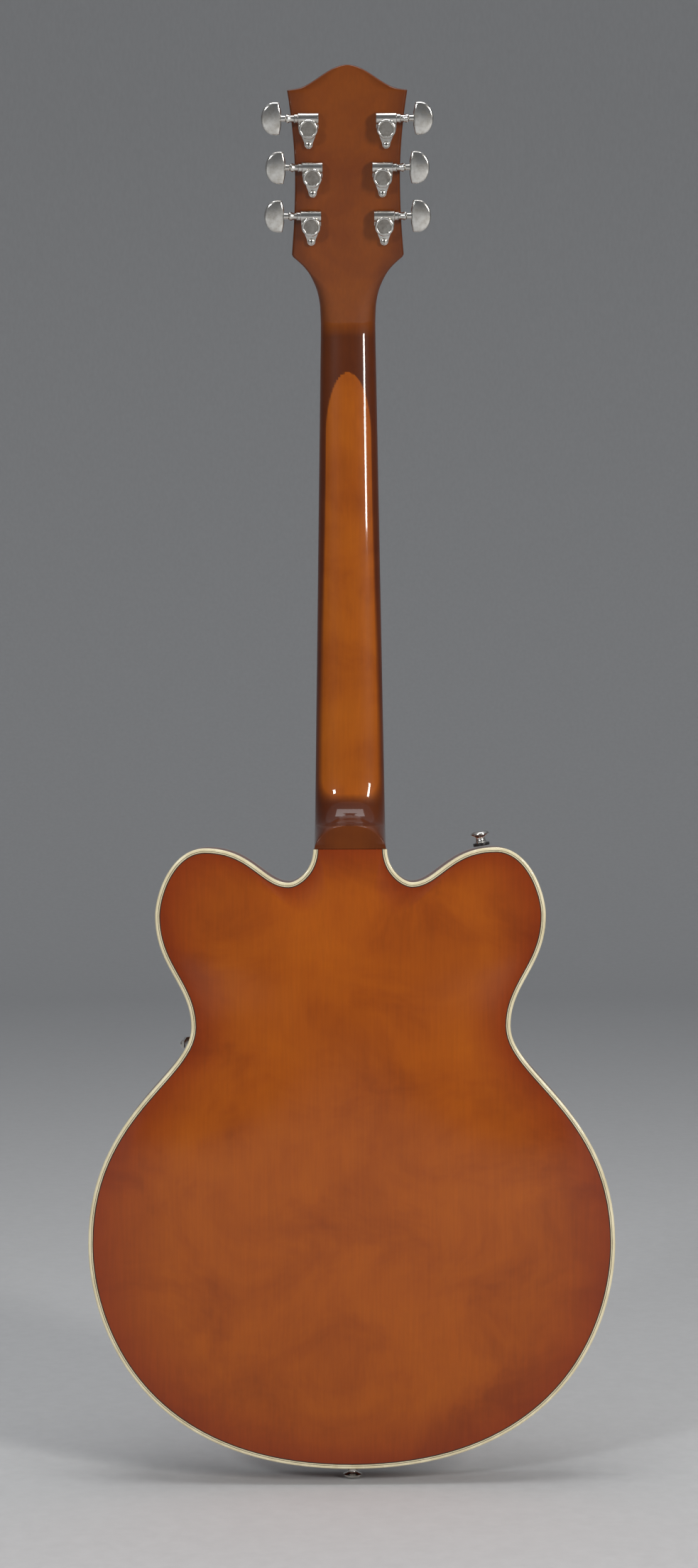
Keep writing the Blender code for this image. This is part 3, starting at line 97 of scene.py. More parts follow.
BLOCK_NECK_HALF_WIDTH = 20.8 * MM

# Neck and fingerboard.
SCALE_LENGTH = 625 * MM
FRET_COUNT = 22
BODY_FRET = 18
NECK_ANGLE = math.radians(3.0)
BOARD_AT_HEEL = 34.8 * MM
BOARD_THICKNESS = 6 * MM
BOARD_OVER_BODY = 48 * MM
BOARD_RADIUS = 305 * MM
FRET_HEIGHT = 1.1 * MM
FRET_HALF_WIDTH = 1.1 * MM
NUT_WIDTH = 42.8 * MM
BOARD_END_WIDTH = 57.5 * MM
NUT_LENGTH = 4.6 * MM
HEEL_CAP_HEIGHT = 17.8 * MM
HEEL_CAP_HALF_WIDTH = 27.5 * MM

# Headstock, measured along its own front face from the edge behind the nut.
HEAD_PITCH = math.radians(14.0)
HEAD_TILT = NECK_ANGLE + HEAD_PITCH
HEAD_THICKNESS = 15 * MM
HEAD_LENGTH = 197 * MM
HEAD_CORNER = 179 * MM
HEAD_CREST_HALF_WIDTH = 43 * MM
HEAD_EDGE_RADIUS = 2.5 * MM
SEAT_ALONG_HEAD = 37 * MM
# Distance along the headstock and half width there.
HEAD_FLARE = [
    (2, 21.4), (10, 21.6), (19, 22.2), (28, 24.0), (35, 26.6),
    (41.5, 29.9), (47, 34.2), (52, 39.6), (55, 43.2),
]
HEAD_SIDES = [(60, 42.8), (75, 41.6), (95, 40.6), (116, 40.2), (137, 40.9), (158, 42.8), (172, 44.6)]
HEAD_TOP_HALF_WIDTH = 45.6 * MM

# Tuners, three a side: distance along the headstock and out from its centreline.
TUNER_ROWS = [(78 * MM, 28.0 * MM), (114.2 * MM, 26.7 * MM), (150.4 * MM, 29.5 * MM)]
TUNER_HALF_WIDTH = 7.75 * MM
TUNER_SHAFT_ABOVE_POST = 7.6 * MM
TUNER_SHAFT_DEPTH = 20 * MM
TUNER_SCREW_BELOW_POST = 11.7 * MM
DRUM_RADIUS = 7.3 * MM
SLEEVE_RADIUS = 4.9 * MM
POST_RADIUS = 3.1 * MM
WINDING_RADIUS = 4.0 * MM
WINDING_HEIGHT = 8.5 * MM
WORM_RADIUS = 2.2 * MM
BUTTON_INNER = 20.5 * MM
BUTTON_WIDTH = 15.3 * MM
BUTTON_HEIGHT = 24.5 * MM
BUTTON_THICKNESS = 7 * MM

# Strings: their spread at the bridge and how far the saddles are set back.
BRIDGE_SPREAD = 52 * MM
BRIDGE_COMPENSATION = 2 * MM

# Bridge, tailpiece and pickups.
BRIDGE_POST_X = 37.2 * MM
TAIL_BEHIND_BRIDGE = 40 * MM
TAIL_STUD_X = 41 * MM
# Place of each pickup along the body and the height of its cover.
PICKUPS = {"neck": (-77 * MM, 38.6 * MM), "bridge": (-190 * MM, 45.6 * MM)}
PICKUP_HALF_LENGTH = 34.8 * MM
PICKUP_HALF_WIDTH = 19 * MM

# Controls: place on the top as x and z.
KNOBS = {
    "volume_neck": Vector((-112 * MM, -322 * MM)),
    "volume_bridge": Vector((-152 * MM, -300 * MM)),
    "tone": Vector((-138 * MM, -350 * MM)),
}
TOGGLE_PLACE = Vector((100 * MM, -72 * MM))
JACK_PLACE = Vector((-98 * MM, -376 * MM))

# Sound holes: their middle as x and z on the bass side, and the length between the round eyes.
SOUND_HOLE_PLACE = Vector((97 * MM, -226 * MM))
SOUND_HOLE_RISE = 44 * MM
SOUND_HOLE_LEAN = 9 * MM
SOUND_HOLE_CURL = 9 * MM

# Strap buttons.
STRAP_HORN_PLACE = Vector((102.5 * MM, 1.0 * MM))
STRAP_HORN_TILT = math.radians(9.0)
STRAP_WASHER_RADIUS = 6.4 * MM
STRAP_FLANGE_RADIUS = 7.25 * MM

# Derived places in the body frame.
NUT_Z = SCALE_LENGTH * (1 - 2 ** (-BODY_FRET / 12)) * math.cos(NECK_ANGLE)
HEAD_START_Z = NUT_Z + NUT_LENGTH + 0.4 * MM
BRIDGE_Z = NUT_Z - (SCALE_LENGTH + BRIDGE_COMPENSATION) * math.cos(NECK_ANGLE)


def board_plane(z):
    """Height of the crown of the fingerboard above the middle of the rim."""
    return BOARD_AT_HEEL - z * math.tan(NECK_ANGLE)


def board_underside(z):
    return board_plane(z) - BOARD_THICKNESS


def board_half_width(z):
    along = (NUT_Z - z) / (NUT_Z + BOARD_OVER_BODY)
    return (NUT_WIDTH + (BOARD_END_WIDTH - NUT_WIDTH) * along) / 2


HEAD_ORIGIN = Vector((0.0, board_underside(HEAD_START_Z), HEAD_START_Z))


def head_point(x, out, along):
    """A place on the headstock: across, out of its front face, and along it, in the body frame."""
    up = Vector((0.0, -math.sin(HEAD_TILT), math.cos(HEAD_TILT)))
    front = Vector((0.0, math.cos(HEAD_TILT), math.sin(HEAD_TILT)))
    return HEAD_ORIGIN + Vector((x, 0.0, 0.0)) + front * out + up * along


SEAT = head_point(0.0, -HEAD_THICKNESS / 2, SEAT_ALONG_HEAD)


def loft(loops, closed=False):
    """Skins a row of loops that have the same count of points, and caps the ends unless the row is closed."""
    shape = bmesh.new()
    rings = [[shape.verts.new(point) for point in loop] for loop in loops]
    count = len(rings[0])
    pairs = list(zip(rings, rings[1:]))
    if closed:
        pairs.append((rings[-1], rings[0]))
    for here, there in pairs:
        for i in range(count):
            j = (i + 1) % count
            shape.faces.new((here[i], here[j], there[j], there[i]))
    if not closed:
        shape.faces.new(rings[0])
        shape.faces.new(rings[-1])
    return shape


def turned(profile, segments, direction="Y"):
    """Spins a closed profile of (radius, height) points round an axis through the origin."""
    shape = bmesh.new()
    verts = [shape.verts.new((radius, 0.0, height)) for radius, height in profile]
    edges = [shape.edges.new((a, b)) for a, b in zip(verts, verts[1:] + verts[:1])]
    on_axis = [edge for edge in edges if all(vert.co.x == 0.0 for vert in edge.verts)]
    bmesh.ops.delete(shape, geom=on_axis, context="EDGES_FACES")
    bmesh.ops.spin(
        shape, geom=shape.verts[:] + shape.edges[:], cent=(0, 0, 0), axis=(0, 0, 1),
        angle=2 * math.pi, steps=segments, use_merge=True,
    )
    bmesh.ops.remove_doubles(shape, verts=shape.verts[:], dist=1e-7)
    turns = {"Y": Matrix.Rotation(-math.pi / 2, 3, "X"), "X": Matrix.Rotation(math.pi / 2, 3, "Y")}
    if direction in turns:
        bmesh.ops.rotate(shape, cent=(0, 0, 0), matrix=turns[direction], verts=shape.verts[:])
    return shape


def prism_y(points, low, high):
    """Extrudes an outline of (x, z) points between two heights in y."""
    return loft([[(x, low, z) for x, z in points], [(x, high, z) for x, z in points]])


def prism_x(points, low, high):
    """Extrudes an outline of (y, z) points between two places in x."""
    return loft([[(low, y, z) for y, z in points], [(high, y, z) for y, z in points]])


def box(low, high):
    points = [(low[0], low[2]), (high[0], low[2]), (high[0], high[2]), (low[0], high[2])]
    return prism_y(points, low[1], high[1])


def merged(shapes):
    """One bmesh that holds several bodies, for a cutter."""
    whole = bmesh.new()
    for shape in shapes:
        bmesh.ops.recalc_face_normals(shape, faces=shape.faces[:])
        mesh = bpy.data.meshes.new("body of a cutter")
        shape.to_mesh(mesh)
        shape.free()
        whole.from_mesh(mesh)
        bpy.data.meshes.remove(mesh)
    return whole


def arc(centre, radius, start, end, steps):
    """Points on a round stretch of an outline, with angles in degrees."""
    angles = [math.radians(start + (end - start) * k / steps) for k in range(steps + 1)]
    return [(centre[0] + radius * math.cos(a), centre[1] + radius * math.sin(a)) for a in angles]


def half_outline():
    """Points of the bass half of the body's outline, from the heel to the tail."""
    points = []
    for knot, knot_ahead in zip(OUTLINE_KNOTS, OUTLINE_KNOTS[1:]):
        point, way, _, after, steps = knot
        ahead, way_ahead, before, _, _ = knot_ahead
        pull, pull_ahead = point + way * after, ahead - way_ahead * before
        stretch = interpolate_bezier(point, pull, pull_ahead, ahead, steps * FINER + 1)
        points += [Vector(p[:2]) for p in stretch[:-1]]
    points.append(OUTLINE_KNOTS[-1][0].copy())
    return points


def inset_half(distance):
    """The half outline moved into the body by a distance, square to the edge."""
    points = half_outline()
    moved = []
    for i, point in enumerate(points):
        before = (point - points[i - 1]).normalized() if i else DOWN
        after = (points[i + 1] - point).normalized() if i + 1 < len(points) else -OUT
        inward = Vector((before.y, -before.x)) + Vector((after.y, -after.x))
        inward.normalize()
        square = Vector((before.y, -before.x))
        moved.append(point + inward * distance / max(inward.dot(square), 0.5))
    return moved


def closed_outline(distance, top=-GAP):
    """The whole outline, bass side first, with its straight edge beside the heel at the given height."""
    bass = inset_half(distance)
    bass[0].y = top
    treble = [Vector((-p.x, p.y)) for p in reversed(bass[:-1])]
    return bass + treble


def spine_point(z):
    return Vector((0.0, min(max(z, SPINE_LOW), SPINE_HIGH)))


def arch_rise(inward):
    """Share of the arch's height at a share of the way from the edge to the spine."""
    return math.sin(math.pi / 2 * inward ** 0.75) ** 2


def reach_of_plate(start, direction):
    """How far a plate reaches from a point of the spine in a direction."""
    edge = PLATE_OUTLINE
    for a, b in zip(edge, edge[1:] + edge[:1]):
        side = b - a
        across = direction.x * side.y - direction.y * side.x
        if abs(across) < 1e-12:
            continue
        offset = a - start
        reach = (offset.x * side.y - offset.y * side.x) / across
        share = (offset.x * direction.y - offset.y * direction.x) / across
        if reach > 0 and -1e-9 <= share <= 1 + 1e-9:
            return reach
    return 1.0


def arch_at(x, z, height):
    """Height of the arch above the plate's edge at a place on the body."""
    start = spine_point(z)
    way = Vector((x, z)) - start
    if way.length < 1e-6:
        return height
    return height * arch_rise(max(0.0, 1 - way.length / reach_of_plate(start, way.normalized())))


PLATE_OUTLINE = closed_outline(BINDING_WIDTH + GAP)
BODY_PLACE = Matrix.Translation(-SEAT)
HEAD_PLACE = BODY_PLACE @ Matrix.Translation(HEAD_ORIGIN) @ Matrix.Rotation(HEAD_TILT, 4, "X")


# Materials. Every one is made of nodes, with the constants on the shader's own sockets.
class Nodes:
    """Short ways to add and join the nodes of one material."""

    def __init__(self, name, **sockets):
        self.material = bpy.data.materials.new(name)
        self.material.use_nodes = True
        self.tree = self.material.node_tree
        self.shader = self.tree.nodes["Principled BSDF"]
        for socket, value in sockets.items():
            self.shader.inputs[socket.replace("_", " ")].default_value = value
        self.place = self.tree.nodes.new("ShaderNodeTexCoord").outputs["Object"]

    def link(self, source, target):
        self.tree.links.new(source, target)

    def noise(self, stretch, scale, detail=4.0, roughness=0.55, warp=0.0):
        mapping = self.tree.nodes.new("ShaderNodeMapping")
        mapping.inputs["Scale"].default_value = stretch
        self.link(self.place, mapping.inputs["Vector"])
        noise = self.tree.nodes.new("ShaderNodeTexNoise")
        noise.inputs["Scale"].default_value = scale
        noise.inputs["Detail"].default_value = detail
        noise.inputs["Roughness"].default_value = roughness
        noise.inputs["Distortion"].default_value = warp
        self.link(mapping.outputs["Vector"], noise.inputs["Vector"])
        return noise.outputs["Fac"]

    def attribute(self, name):
        node = self.tree.nodes.new("ShaderNodeAttribute")
        node.attribute_name = name
        return node.outputs["Fac"]

    def ramp(self, source, stops):
        node = self.tree.nodes.new("ShaderNodeValToRGB")
        points = node.color_ramp.elements
        while len(points) < len(stops):
            points.new(0.5)
        for point, (position, colour) in zip(points, stops):
            point.position = position
            point.color = (*colour, 1.0)
        self.link(source, node.inputs["Fac"])
        return node.outputs["Color"]

    def mix(self, factor, first, second, blend="MIX"):
        node = self.tree.nodes.new("ShaderNodeMix")
        node.data_type = "RGBA"
        node.blend_type = blend
        sockets = {s.identifier: s for s in node.inputs}
        for socket, value in (("Factor_Float", factor), ("A_Color", first), ("B_Color", second)):
            if isinstance(value, bpy.types.NodeSocket):
                self.link(value, sockets[socket])
            else:
                sockets[socket].default_value = value
        return {s.identifier: s for s in node.outputs}["Result_Color"]

    def spread(self, source, low, high, target):
        """A noise mapped to a range of values on a socket of the shader."""
        node = self.tree.nodes.new("ShaderNodeMapRange")
        node.inputs["From Min"].default_value = 0.3
        node.inputs["From Max"].default_value = 0.7
        node.inputs["To Min"].default_value = low
        node.inputs["To Max"].default_value = high
        self.link(source, node.inputs["Value"])
        self.link(node.outputs["Result"], self.shader.inputs[target])

    def bump(self, source, strength, distance, coat=False):
        node = self.tree.nodes.new("ShaderNodeBump")
        node.inputs["Strength"].default_value = strength
        node.inputs["Distance"].default_value = distance
        self.link(source, node.inputs["Height"])
        self.link(node.outputs["Normal"], self.shader.inputs["Coat Normal" if coat else "Normal"])


def grey(value):
    return (value, value, value)


def lacquered_wood(name, middle, edge):
    """Figured maple under clear amber lacquer, which darkens towards the edge; on the neck that darkening is
    painted shade.
    """
    nodes = Nodes(
        name, Roughness=0.45, Specular_IOR_Level=0.1, Coat_Weight=0.65, Coat_Roughness=0.045, Coat_IOR=1.48,
    )
    figure = nodes.noise((1.0, 1.0, 1.25), 13.0, 4.0, 0.62, 0.5)
    grain = nodes.noise((1.0, 1.0, 0.05), 520.0, 5.0, 0.6)
    # Dark at the edge, light in the middle; on the neck the dark end is painted shade.
    burst_and_painted_shade = nodes.ramp(nodes.attribute(SHADE), [(0.0, edge), (0.28, middle), (1.0, middle)])
    cloud = nodes.ramp(figure, [(0.3, (0.78, 0.7, 0.6)), (0.52, grey(1.0)), (0.74, (1.12, 1.2, 1.2))])
    lines = nodes.ramp(grain, [(0.3, grey(0.92)), (0.65, grey(1.04))])
    colour = nodes.mix(1.0, nodes.mix(1.0, burst_and_painted_shade, cloud, "MULTIPLY"), lines, "MULTIPLY")
    nodes.link(colour, nodes.shader.inputs["Base Color"])
    nodes.bump(nodes.noise((1.0, 1.0, 0.3), 60.0, 2.0), 0.12, 0.0004, coat=True)
    return nodes.material


def bare_wood(name, dark, light, roughness):
    nodes = Nodes(name)
    grain = nodes.noise((1.0, 1.0, 0.05), 700.0, 6.0, 0.7)
    nodes.link(nodes.ramp(grain, [(0.32, dark), (0.68, light)]), nodes.shader.inputs["Base Color"])
    nodes.spread(grain, roughness + 0.12, roughness - 0.08, "Roughness")
    nodes.bump(grain, 0.25, 0.0002)
    return nodes.material


def metal(name, colour, shadow, low, high):
    nodes = Nodes(name, Metallic=1.0)
    wear = nodes.noise((1.0, 1.0, 1.0), 210.0, 5.0, 0.62)
    nodes.link(nodes.ramp(wear, [(0.3, shadow), (0.6, colour)]), nodes.shader.inputs["Base Color"])
    nodes.spread(wear, high, low, "Roughness")
    return nodes.material


def plastic(name, dark, light, low, high, **sockets):
    nodes = Nodes(name, **sockets)
    cloud = nodes.noise((1.0, 1.0, 0.4), 95.0, 4.0, 0.6)
    nodes.link(nodes.ramp(cloud, [(0.32, dark), (0.68, light)]), nodes.shader.inputs["Base Color"])
    nodes.spread(cloud, low, high, "Roughness")
    return nodes.material


PAINT = {
    "body_wood": lacquered_wood("lacquered back and top", (0.31, 0.064, 0.0012), (0.2, 0.026, 0.0008)),
    "rim_wood": lacquered_wood("lacquered rim", (0.25, 0.046, 0.0012), (0.17, 0.023, 0.001)),
    # The neck's dark edge colour is painted shade on its sides and in the hollow above the heel.
    "neck_wood": lacquered_wood("lacquered neck", (0.31, 0.072, 0.002), (0.082, 0.0155, 0.001)),
    "block_wood": bare_wood("bare maple", (0.42, 0.28, 0.15), (0.6, 0.43, 0.26), 0.6),
    "fingerboard": bare_wood("oiled rosewood", (0.018, 0.008, 0.005), (0.075, 0.032, 0.019), 0.45),
    "binding": plastic("aged cream", (0.62, 0.53, 0.33), (0.76, 0.68, 0.46), 0.2, 0.32, Coat_Weight=0.5),
    "dark_ply": plastic("dark ply", (0.014, 0.01, 0.008), (0.03, 0.02, 0.014), 0.3, 0.4),
    "bone": plastic("bone", (0.66, 0.6, 0.46), (0.8, 0.75, 0.62), 0.3, 0.45),
    "pearl": plastic("pearl inlay", (0.5, 0.5, 0.47), (0.86, 0.86, 0.83), 0.12, 0.3, Coat_Weight=0.6),
    "black_plastic": plastic("black plastic", grey(0.009), grey(0.017), 0.28, 0.42),
    "guard": plastic("gloss black", grey(0.007), (0.014, 0.013, 0.012), 0.1, 0.18, Coat_Weight=0.6),
    "amber": plastic("amber", (0.33, 0.13, 0.012), (0.5, 0.23, 0.03), 0.08, 0.16, Transmission_Weight=0.35),
    "cream_plastic": plastic("cream lever tip", (0.56, 0.46, 0.26), (0.7, 0.6, 0.38), 0.2, 0.34),
    "nickel": metal("polished nickel", (0.74, 0.72, 0.68), (0.52, 0.49, 0.44), 0.1, 0.24),
    # The tuner cap is coloured darker than the nickel: a painted dark reflection on its mirror face.
    "cap": metal("tuner cap painted with its dark reflection", (0.36, 0.34, 0.31), (0.2, 0.18, 0.16), 0.3, 0.45),
    "steel": metal("plain steel", (0.55, 0.54, 0.52), (0.36, 0.35, 0.33), 0.3, 0.45),
    "string_wire": metal("string wire", (0.66, 0.63, 0.57), (0.42, 0.38, 0.32), 0.22, 0.36),
}


# Pieces. Each is drawn in the body's or the headstock's frame, and its vertices are then put in their place.
def piece(name, shape, paint, nodes=(), place=BODY_PLACE, bevel=0.0, body="root", angle=35):
    """A shown piece in its finish, on its body. Its edges are sharp past an angle in degrees."""
    mesh = mesh_of(shape, name) if isinstance(shape, bmesh.types.BMesh) else shape
    mesh.transform(place)
    mesh.materials.append(PAINT[paint])
    mesh.shade_smooth()
    mesh.set_sharp_from_angle(angle=math.radians(angle))
    thing = bpy.data.objects.new(name, mesh)
    bpy.context.scene.collection.objects.link(thing)
    if bevel:
        modifier = thing.modifiers.new("worn edges", "BEVEL")
        modifier.width = bevel
        modifier.segments = 2
        modifier.limit_method = "ANGLE"
        modifier.angle_limit = math.radians(32)
    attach(thing, body)
    if nodes:
        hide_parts(*nodes)
    return thing


def shade_verts(mesh, values):
    """Writes the value that the wood's material reads at each vertex."""
    layer = mesh.attributes.new(SHADE, "FLOAT", "POINT")
    layer.data.foreach_set("value", values)


def mesh_of(shape, name):
    mesh = bpy.data.meshes.new(name)
    bmesh.ops.recalc_face_normals(shape, faces=shape.faces[:])
    shape.to_mesh(mesh)
    shape.free()
    return mesh


def smooth_step(low, high, value):
    share = min(1.0, max(0.0, (value - low) / (high - low)))
    return share * share * (3 - 2 * share)


# Body.
ARCH_STEP = 5 * MM
ARCH_COLUMNS, ARCH_ROWS = 46, 104


def arch_grid():
    """Shares of the arch's height on a grid over the bass half, evened out so that no crease is left."""
    grid = numpy.zeros((ARCH_COLUMNS, ARCH_ROWS))
    for i in range(ARCH_COLUMNS):
        for j in range(ARCH_ROWS):
            grid[i, j] = arch_at((i - 1) * ARCH_STEP, (j - ARCH_ROWS + 4) * ARCH_STEP, 1.0)
    edges = grid == 0.0
    for _ in range(26):
        grid[0] = grid[2]
        near = (grid[:-2, 1:-1] + grid[2:, 1:-1] + grid[1:-1, :-2] + grid[1:-1, 2:]) / 4
        grid[1:-1, 1:-1] += 0.9 * (near - grid[1:-1, 1:-1])
        grid[edges] = 0.0
    return grid


def smooth_arch(x, z):
    """The evened arch at a place, by cubic curves through the nearest points of the grid."""
    u, v = abs(x) / ARCH_STEP + 1, z / ARCH_STEP + ARCH_ROWS - 4
    i, j = min(max(int(u), 1), ARCH_COLUMNS - 3), min(max(int(v), 1), ARCH_ROWS - 3)
    weights = []
    for t in (u - i, v - j):
        weights.append((
            (-t + 2 * t * t - t ** 3) / 2, (2 - 5 * t * t + 3 * t ** 3) / 2,
            (t + 4 * t * t - 3 * t ** 3) / 2, (t ** 3 - t * t) / 2,
        ))
    patch = ARCH_GRID[i - 1:i + 3, j - 1:j + 3]
    return min(1.0, float(numpy.array(weights[0]) @ patch @ numpy.array(weights[1])))


ARCH_GRID = arch_grid()


def arched_plate(side, height):
    """A smooth arched plate, its two skins, and the share of the way inward at each vertex."""
    rings_count = 10 * FINER
    count = len(PLATE_OUTLINE)
    shape = bmesh.new()
    inward = shape.verts.layers.float.new(SHADE)
    skins = []
    for outward in (0.0, PLATE_THICKNESS):
        rings = []
        for k in range(rings_count + 1):
            ring = []
            for i, edge in enumerate(PLATE_OUTLINE):
                flat = edge.lerp(spine_point(edge.y), k / rings_count)
                plain = arch_rise(k / rings_count)
                even = smooth_step(0.0, 0.3, k / rings_count)
                rise = plain + (smooth_arch(flat.x, flat.y) - plain) * even
                y = side * (RIM_HALF - PLATE_THICKNESS + outward + height * rise)
                vert = shape.verts.new((flat.x, y, flat.y))
                vert[inward] = k / rings_count
                ring.append(vert)
            rings.append(ring)
        skins.append(rings)
        for here, there in zip(rings, rings[1:]):
            for i in range(count):
                j = (i + 1) % count
                shape.faces.new((here[i], here[j], there[j], there[i]))
    inner, outer = skins[0][0], skins[1][0]
    for i in range(count):
        j = (i + 1) % count
        shape.faces.new((inner[i], inner[j], outer[j], outer[i]))
    bmesh.ops.remove_doubles(shape, verts=shape.verts[:], dist=0.02 * MM)
    return shape


def edge_strip(outer_inset, inner_inset, low, high, corner=0.0):
    """A strip round the body; its corner at the outer high edge can be rounded."""
    insets = (outer_inset, inner_inset, outer_inset + abs(corner))
    sections = list(zip(*[inset_half(inset) for inset in insets]))
    for section in sections[:1]:
        for point in section:
            point.y = -GAP
    sections += [[Vector((-p.x, p.y)) for p in section] for section in reversed(sections[:-1])]
    loops = []
    for outer, inner, soft in sections:
        loop = [(outer.x, low, outer.y)]
        if corner:
            for turn in (0.0, 0.4, 0.8, 1.2, math.pi / 2):
                flat = soft.lerp(outer, math.cos(turn))
                loop.append((flat.x, high - corner * (1 - math.sin(turn)), flat.y))
        else:
            loop.append((outer.x, high, outer.y))
        loop += [(inner.x, high, inner.y), (inner.x, low, inner.y)]
        loops.append(loop)
    return loft(loops)


# Plies of the binding, from outside in, in millimetres: two insets, the finish and the radius of the corner.
PLIES = [
    (0.0, 2.2, "binding", 1.2), (2.2, 2.6, "dark_ply", 0.0),
    (2.6, 3.3, "binding", 0.0), (3.3, 4.05, "dark_ply", 0.0),
]


def build_body():
    reach = RIM_HALF - BINDING_HEIGHT
    rim = mesh_of(edge_strip(0.0, RIM_WALL, -reach, reach), "rim_fine")
    shade_verts(rim, [1 - min(1.0, abs(v.co.y) / reach) ** 4 for v in rim.vertices])
    piece("rim_fine", rim, "rim_wood", ["rim"])
    for side, where in ((1, "top"), (-1, "back")):
        for number, (outer, inner, paint, corner) in enumerate(PLIES, start=1):
            low, high = side * (RIM_HALF - BINDING_HEIGHT), side * RIM_HALF
            shape = edge_strip(outer * MM, inner * MM, low, high, side * corner * MM)
            piece(f"{where}_ply_{number}", shape, paint, [f"{where}_binding"] if number == 1 else ())
    piece("back_fine", arched_plate(-1, BACK_ARCH), "body_wood", ["back_plate"], angle=50)
    top = piece("top_fine", arched_plate(1, TOP_ARCH), "body_wood", ["top_plate"], angle=50)
    low, high = RIM_HALF - 8 * MM, RIM_HALF + TOP_ARCH + 5 * MM
    slot_half, slot_end = BLOCK_NECK_HALF_WIDTH, BOARD_OVER_BODY + GAP
    openings = [box((-slot_half, low, -slot_end), (slot_half, high, 5 * MM))]
    for z, _ in PICKUPS.values():
        reach_x, reach_z = PICKUP_HALF_LENGTH + GAP * 2, PICKUP_HALF_WIDTH + GAP * 2
        openings.append(box((-reach_x, low, z - reach_z), (reach_x, high, z + reach_z)))
    holes = [(place, 5.2) for place in KNOBS.values()] + [(TOGGLE_PLACE, 6.8), (JACK_PLACE, 5.3)]
    for side in (-1, 1):
        holes.append((Vector((side * BRIDGE_POST_X, BRIDGE_Z)), 5.4))
        holes.append((Vector((side * TAIL_STUD_X, BRIDGE_Z - TAIL_BEHIND_BRIDGE)), 6.2))
        openings.append(prism_y(sound_hole_band(side), low, high))
    openings += [prism_y(arc(place, radius * MM, 0, 352.5, 47), low, high) for place, radius in holes]
    eyes = [prism_y(eye, low, high) for side in (-1, 1) for eye in sound_hole_eyes(side)]
    for name, shape in (("openings", merged(openings)), ("sound_hole_eyes", merged(eyes))):
        cutter = bpy.data.objects.new(name, mesh_of(shape, name))
        cutter.data.transform(BODY_PLACE)
        cutter.hide_render = True
        bpy.context.scene.collection.objects.link(cutter)
        modifier = top.modifiers.new(name, "BOOLEAN")
        modifier.operation = "DIFFERENCE"
        modifier.solver = "EXACT"
        modifier.object = cutter


def sound_hole_band(side):
    """The long slot of a sound hole: a slender S that swells in its middle."""
    high = Vector((-SOUND_HOLE_LEAN, SOUND_HOLE_RISE))
    low = -high
    curl = SOUND_HOLE_CURL
    path = [high + Vector(p) for p in arc((-curl * 0.2, 0.0), curl, 170, 10, 14)]
    for share in (0.3, 0.4, 0.5, 0.6, 0.7):
        path.append(high.lerp(low, share) + Vector((curl * (0.8 - 1.6 * share), 0.0)))
    path += [low + Vector(p) for p in arc((curl * 0.2, 0.0), curl, 190, 350, 14)]
    left, right = [], []
    for i, point in enumerate(path):
        along = (path[min(i + 1, len(path) - 1)] - path[max(i - 1, 0)]).normalized()
        swell = (1.3 + 2.2 * math.sin(math.pi * i / (len(path) - 1)) ** 2) * MM
        across = Vector((-along.y, along.x)) * swell
        left.append(SOUND_HOLE_PLACE + point + across)
        right.append(SOUND_HOLE_PLACE + point - across)
    return [(side * p.x, p.y) for p in left + right[::-1]]


def sound_hole_eyes(side):
    """The two round ends of a sound hole, inside the curls of its slot."""
    out = SOUND_HOLE_LEAN + SOUND_HOLE_CURL
    high = SOUND_HOLE_PLACE + Vector((-out, SOUND_HOLE_RISE - 2 * MM))
    low = SOUND_HOLE_PLACE + Vector((out, 2 * MM - SOUND_HOLE_RISE))
    for centre, radius in ((high, 5.2 * MM), (low, 6.2 * MM)):
        yield [(side * x, z) for x, z in arc(centre, radius, 0, 352.5, 47)]


# Neck, with its heel and the headstock in one. Its back is lighter down the middle and painted darker at its
# sides, a painted shade where the round back turns from the light, and above the heel, a painted shade in the
# hollow; the lighter middle ends in a round tongue.
TONGUE_TIP = 369 * MM
TONGUE_LOW = 305 * MM


def neck_section(half_width, depth, flat, side, place, tilt):
    half = [(half_width, 0.0)]
    steps = 5 * FINER
    for k in range(steps + 1):
        turn = math.pi / 2 * k / steps
        x = flat + (half_width - flat) * math.cos(turn) ** 0.9
        half.append((x, side + (depth - side) * math.sin(turn) ** 0.9))
    half += [(flat * share, depth) for share in (0.66, 0.33)]
    outline = half + [(0.0, depth)] + [(-x, d) for x, d in reversed(half)]
    back = Vector((0.0, -math.cos(tilt), -math.sin(tilt)))
    return [place + Vector((x, 0.0, 0.0)) + back * d for x, d in outline]


def shaft_depth(z):
    slim = (14.8 + 2.9 * (NUT_Z - z) / NUT_Z) * MM
    start, end = 62 * MM, HEEL_CAP_HEIGHT
    if z >= start:
        return slim
    share = min(1.0, (start - z) / (start - end))
    return slim + (board_underside(z) + RIM_HALF - slim) * (1 - math.sqrt(1 - share ** 2.6))


def head_half_width(along):
    """Half width of the headstock, a smooth curve through the measured places."""
    table = [(a * MM, h * MM) for a, h in HEAD_FLARE + HEAD_SIDES]
    table.append((HEAD_CORNER - 0.6 * MM, HEAD_TOP_HALF_WIDTH))
    for i in range(len(table) - 1):
        (a, here), (b, there) = table[i], table[i + 1]
        if along <= b or i == len(table) - 2:
            before = table[max(i - 1, 0)]
            after = table[min(i + 2, len(table) - 1)]
            slope_a = (there - before[1]) / (b - before[0]) * (b - a)
            slope_b = (after[1] - here) / (after[0] - a) * (b - a)
            if b >= 54 * MM and a < 61 * MM:
                slope_a = slope_b = there - here
            t = (along - a) / (b - a)
            return (here * (1 - 3 * t * t + 2 * t ** 3) + there * (3 * t * t - 2 * t ** 3)
                    + slope_a * (t - 2 * t * t + t ** 3) + slope_b * (t ** 3 - t * t))


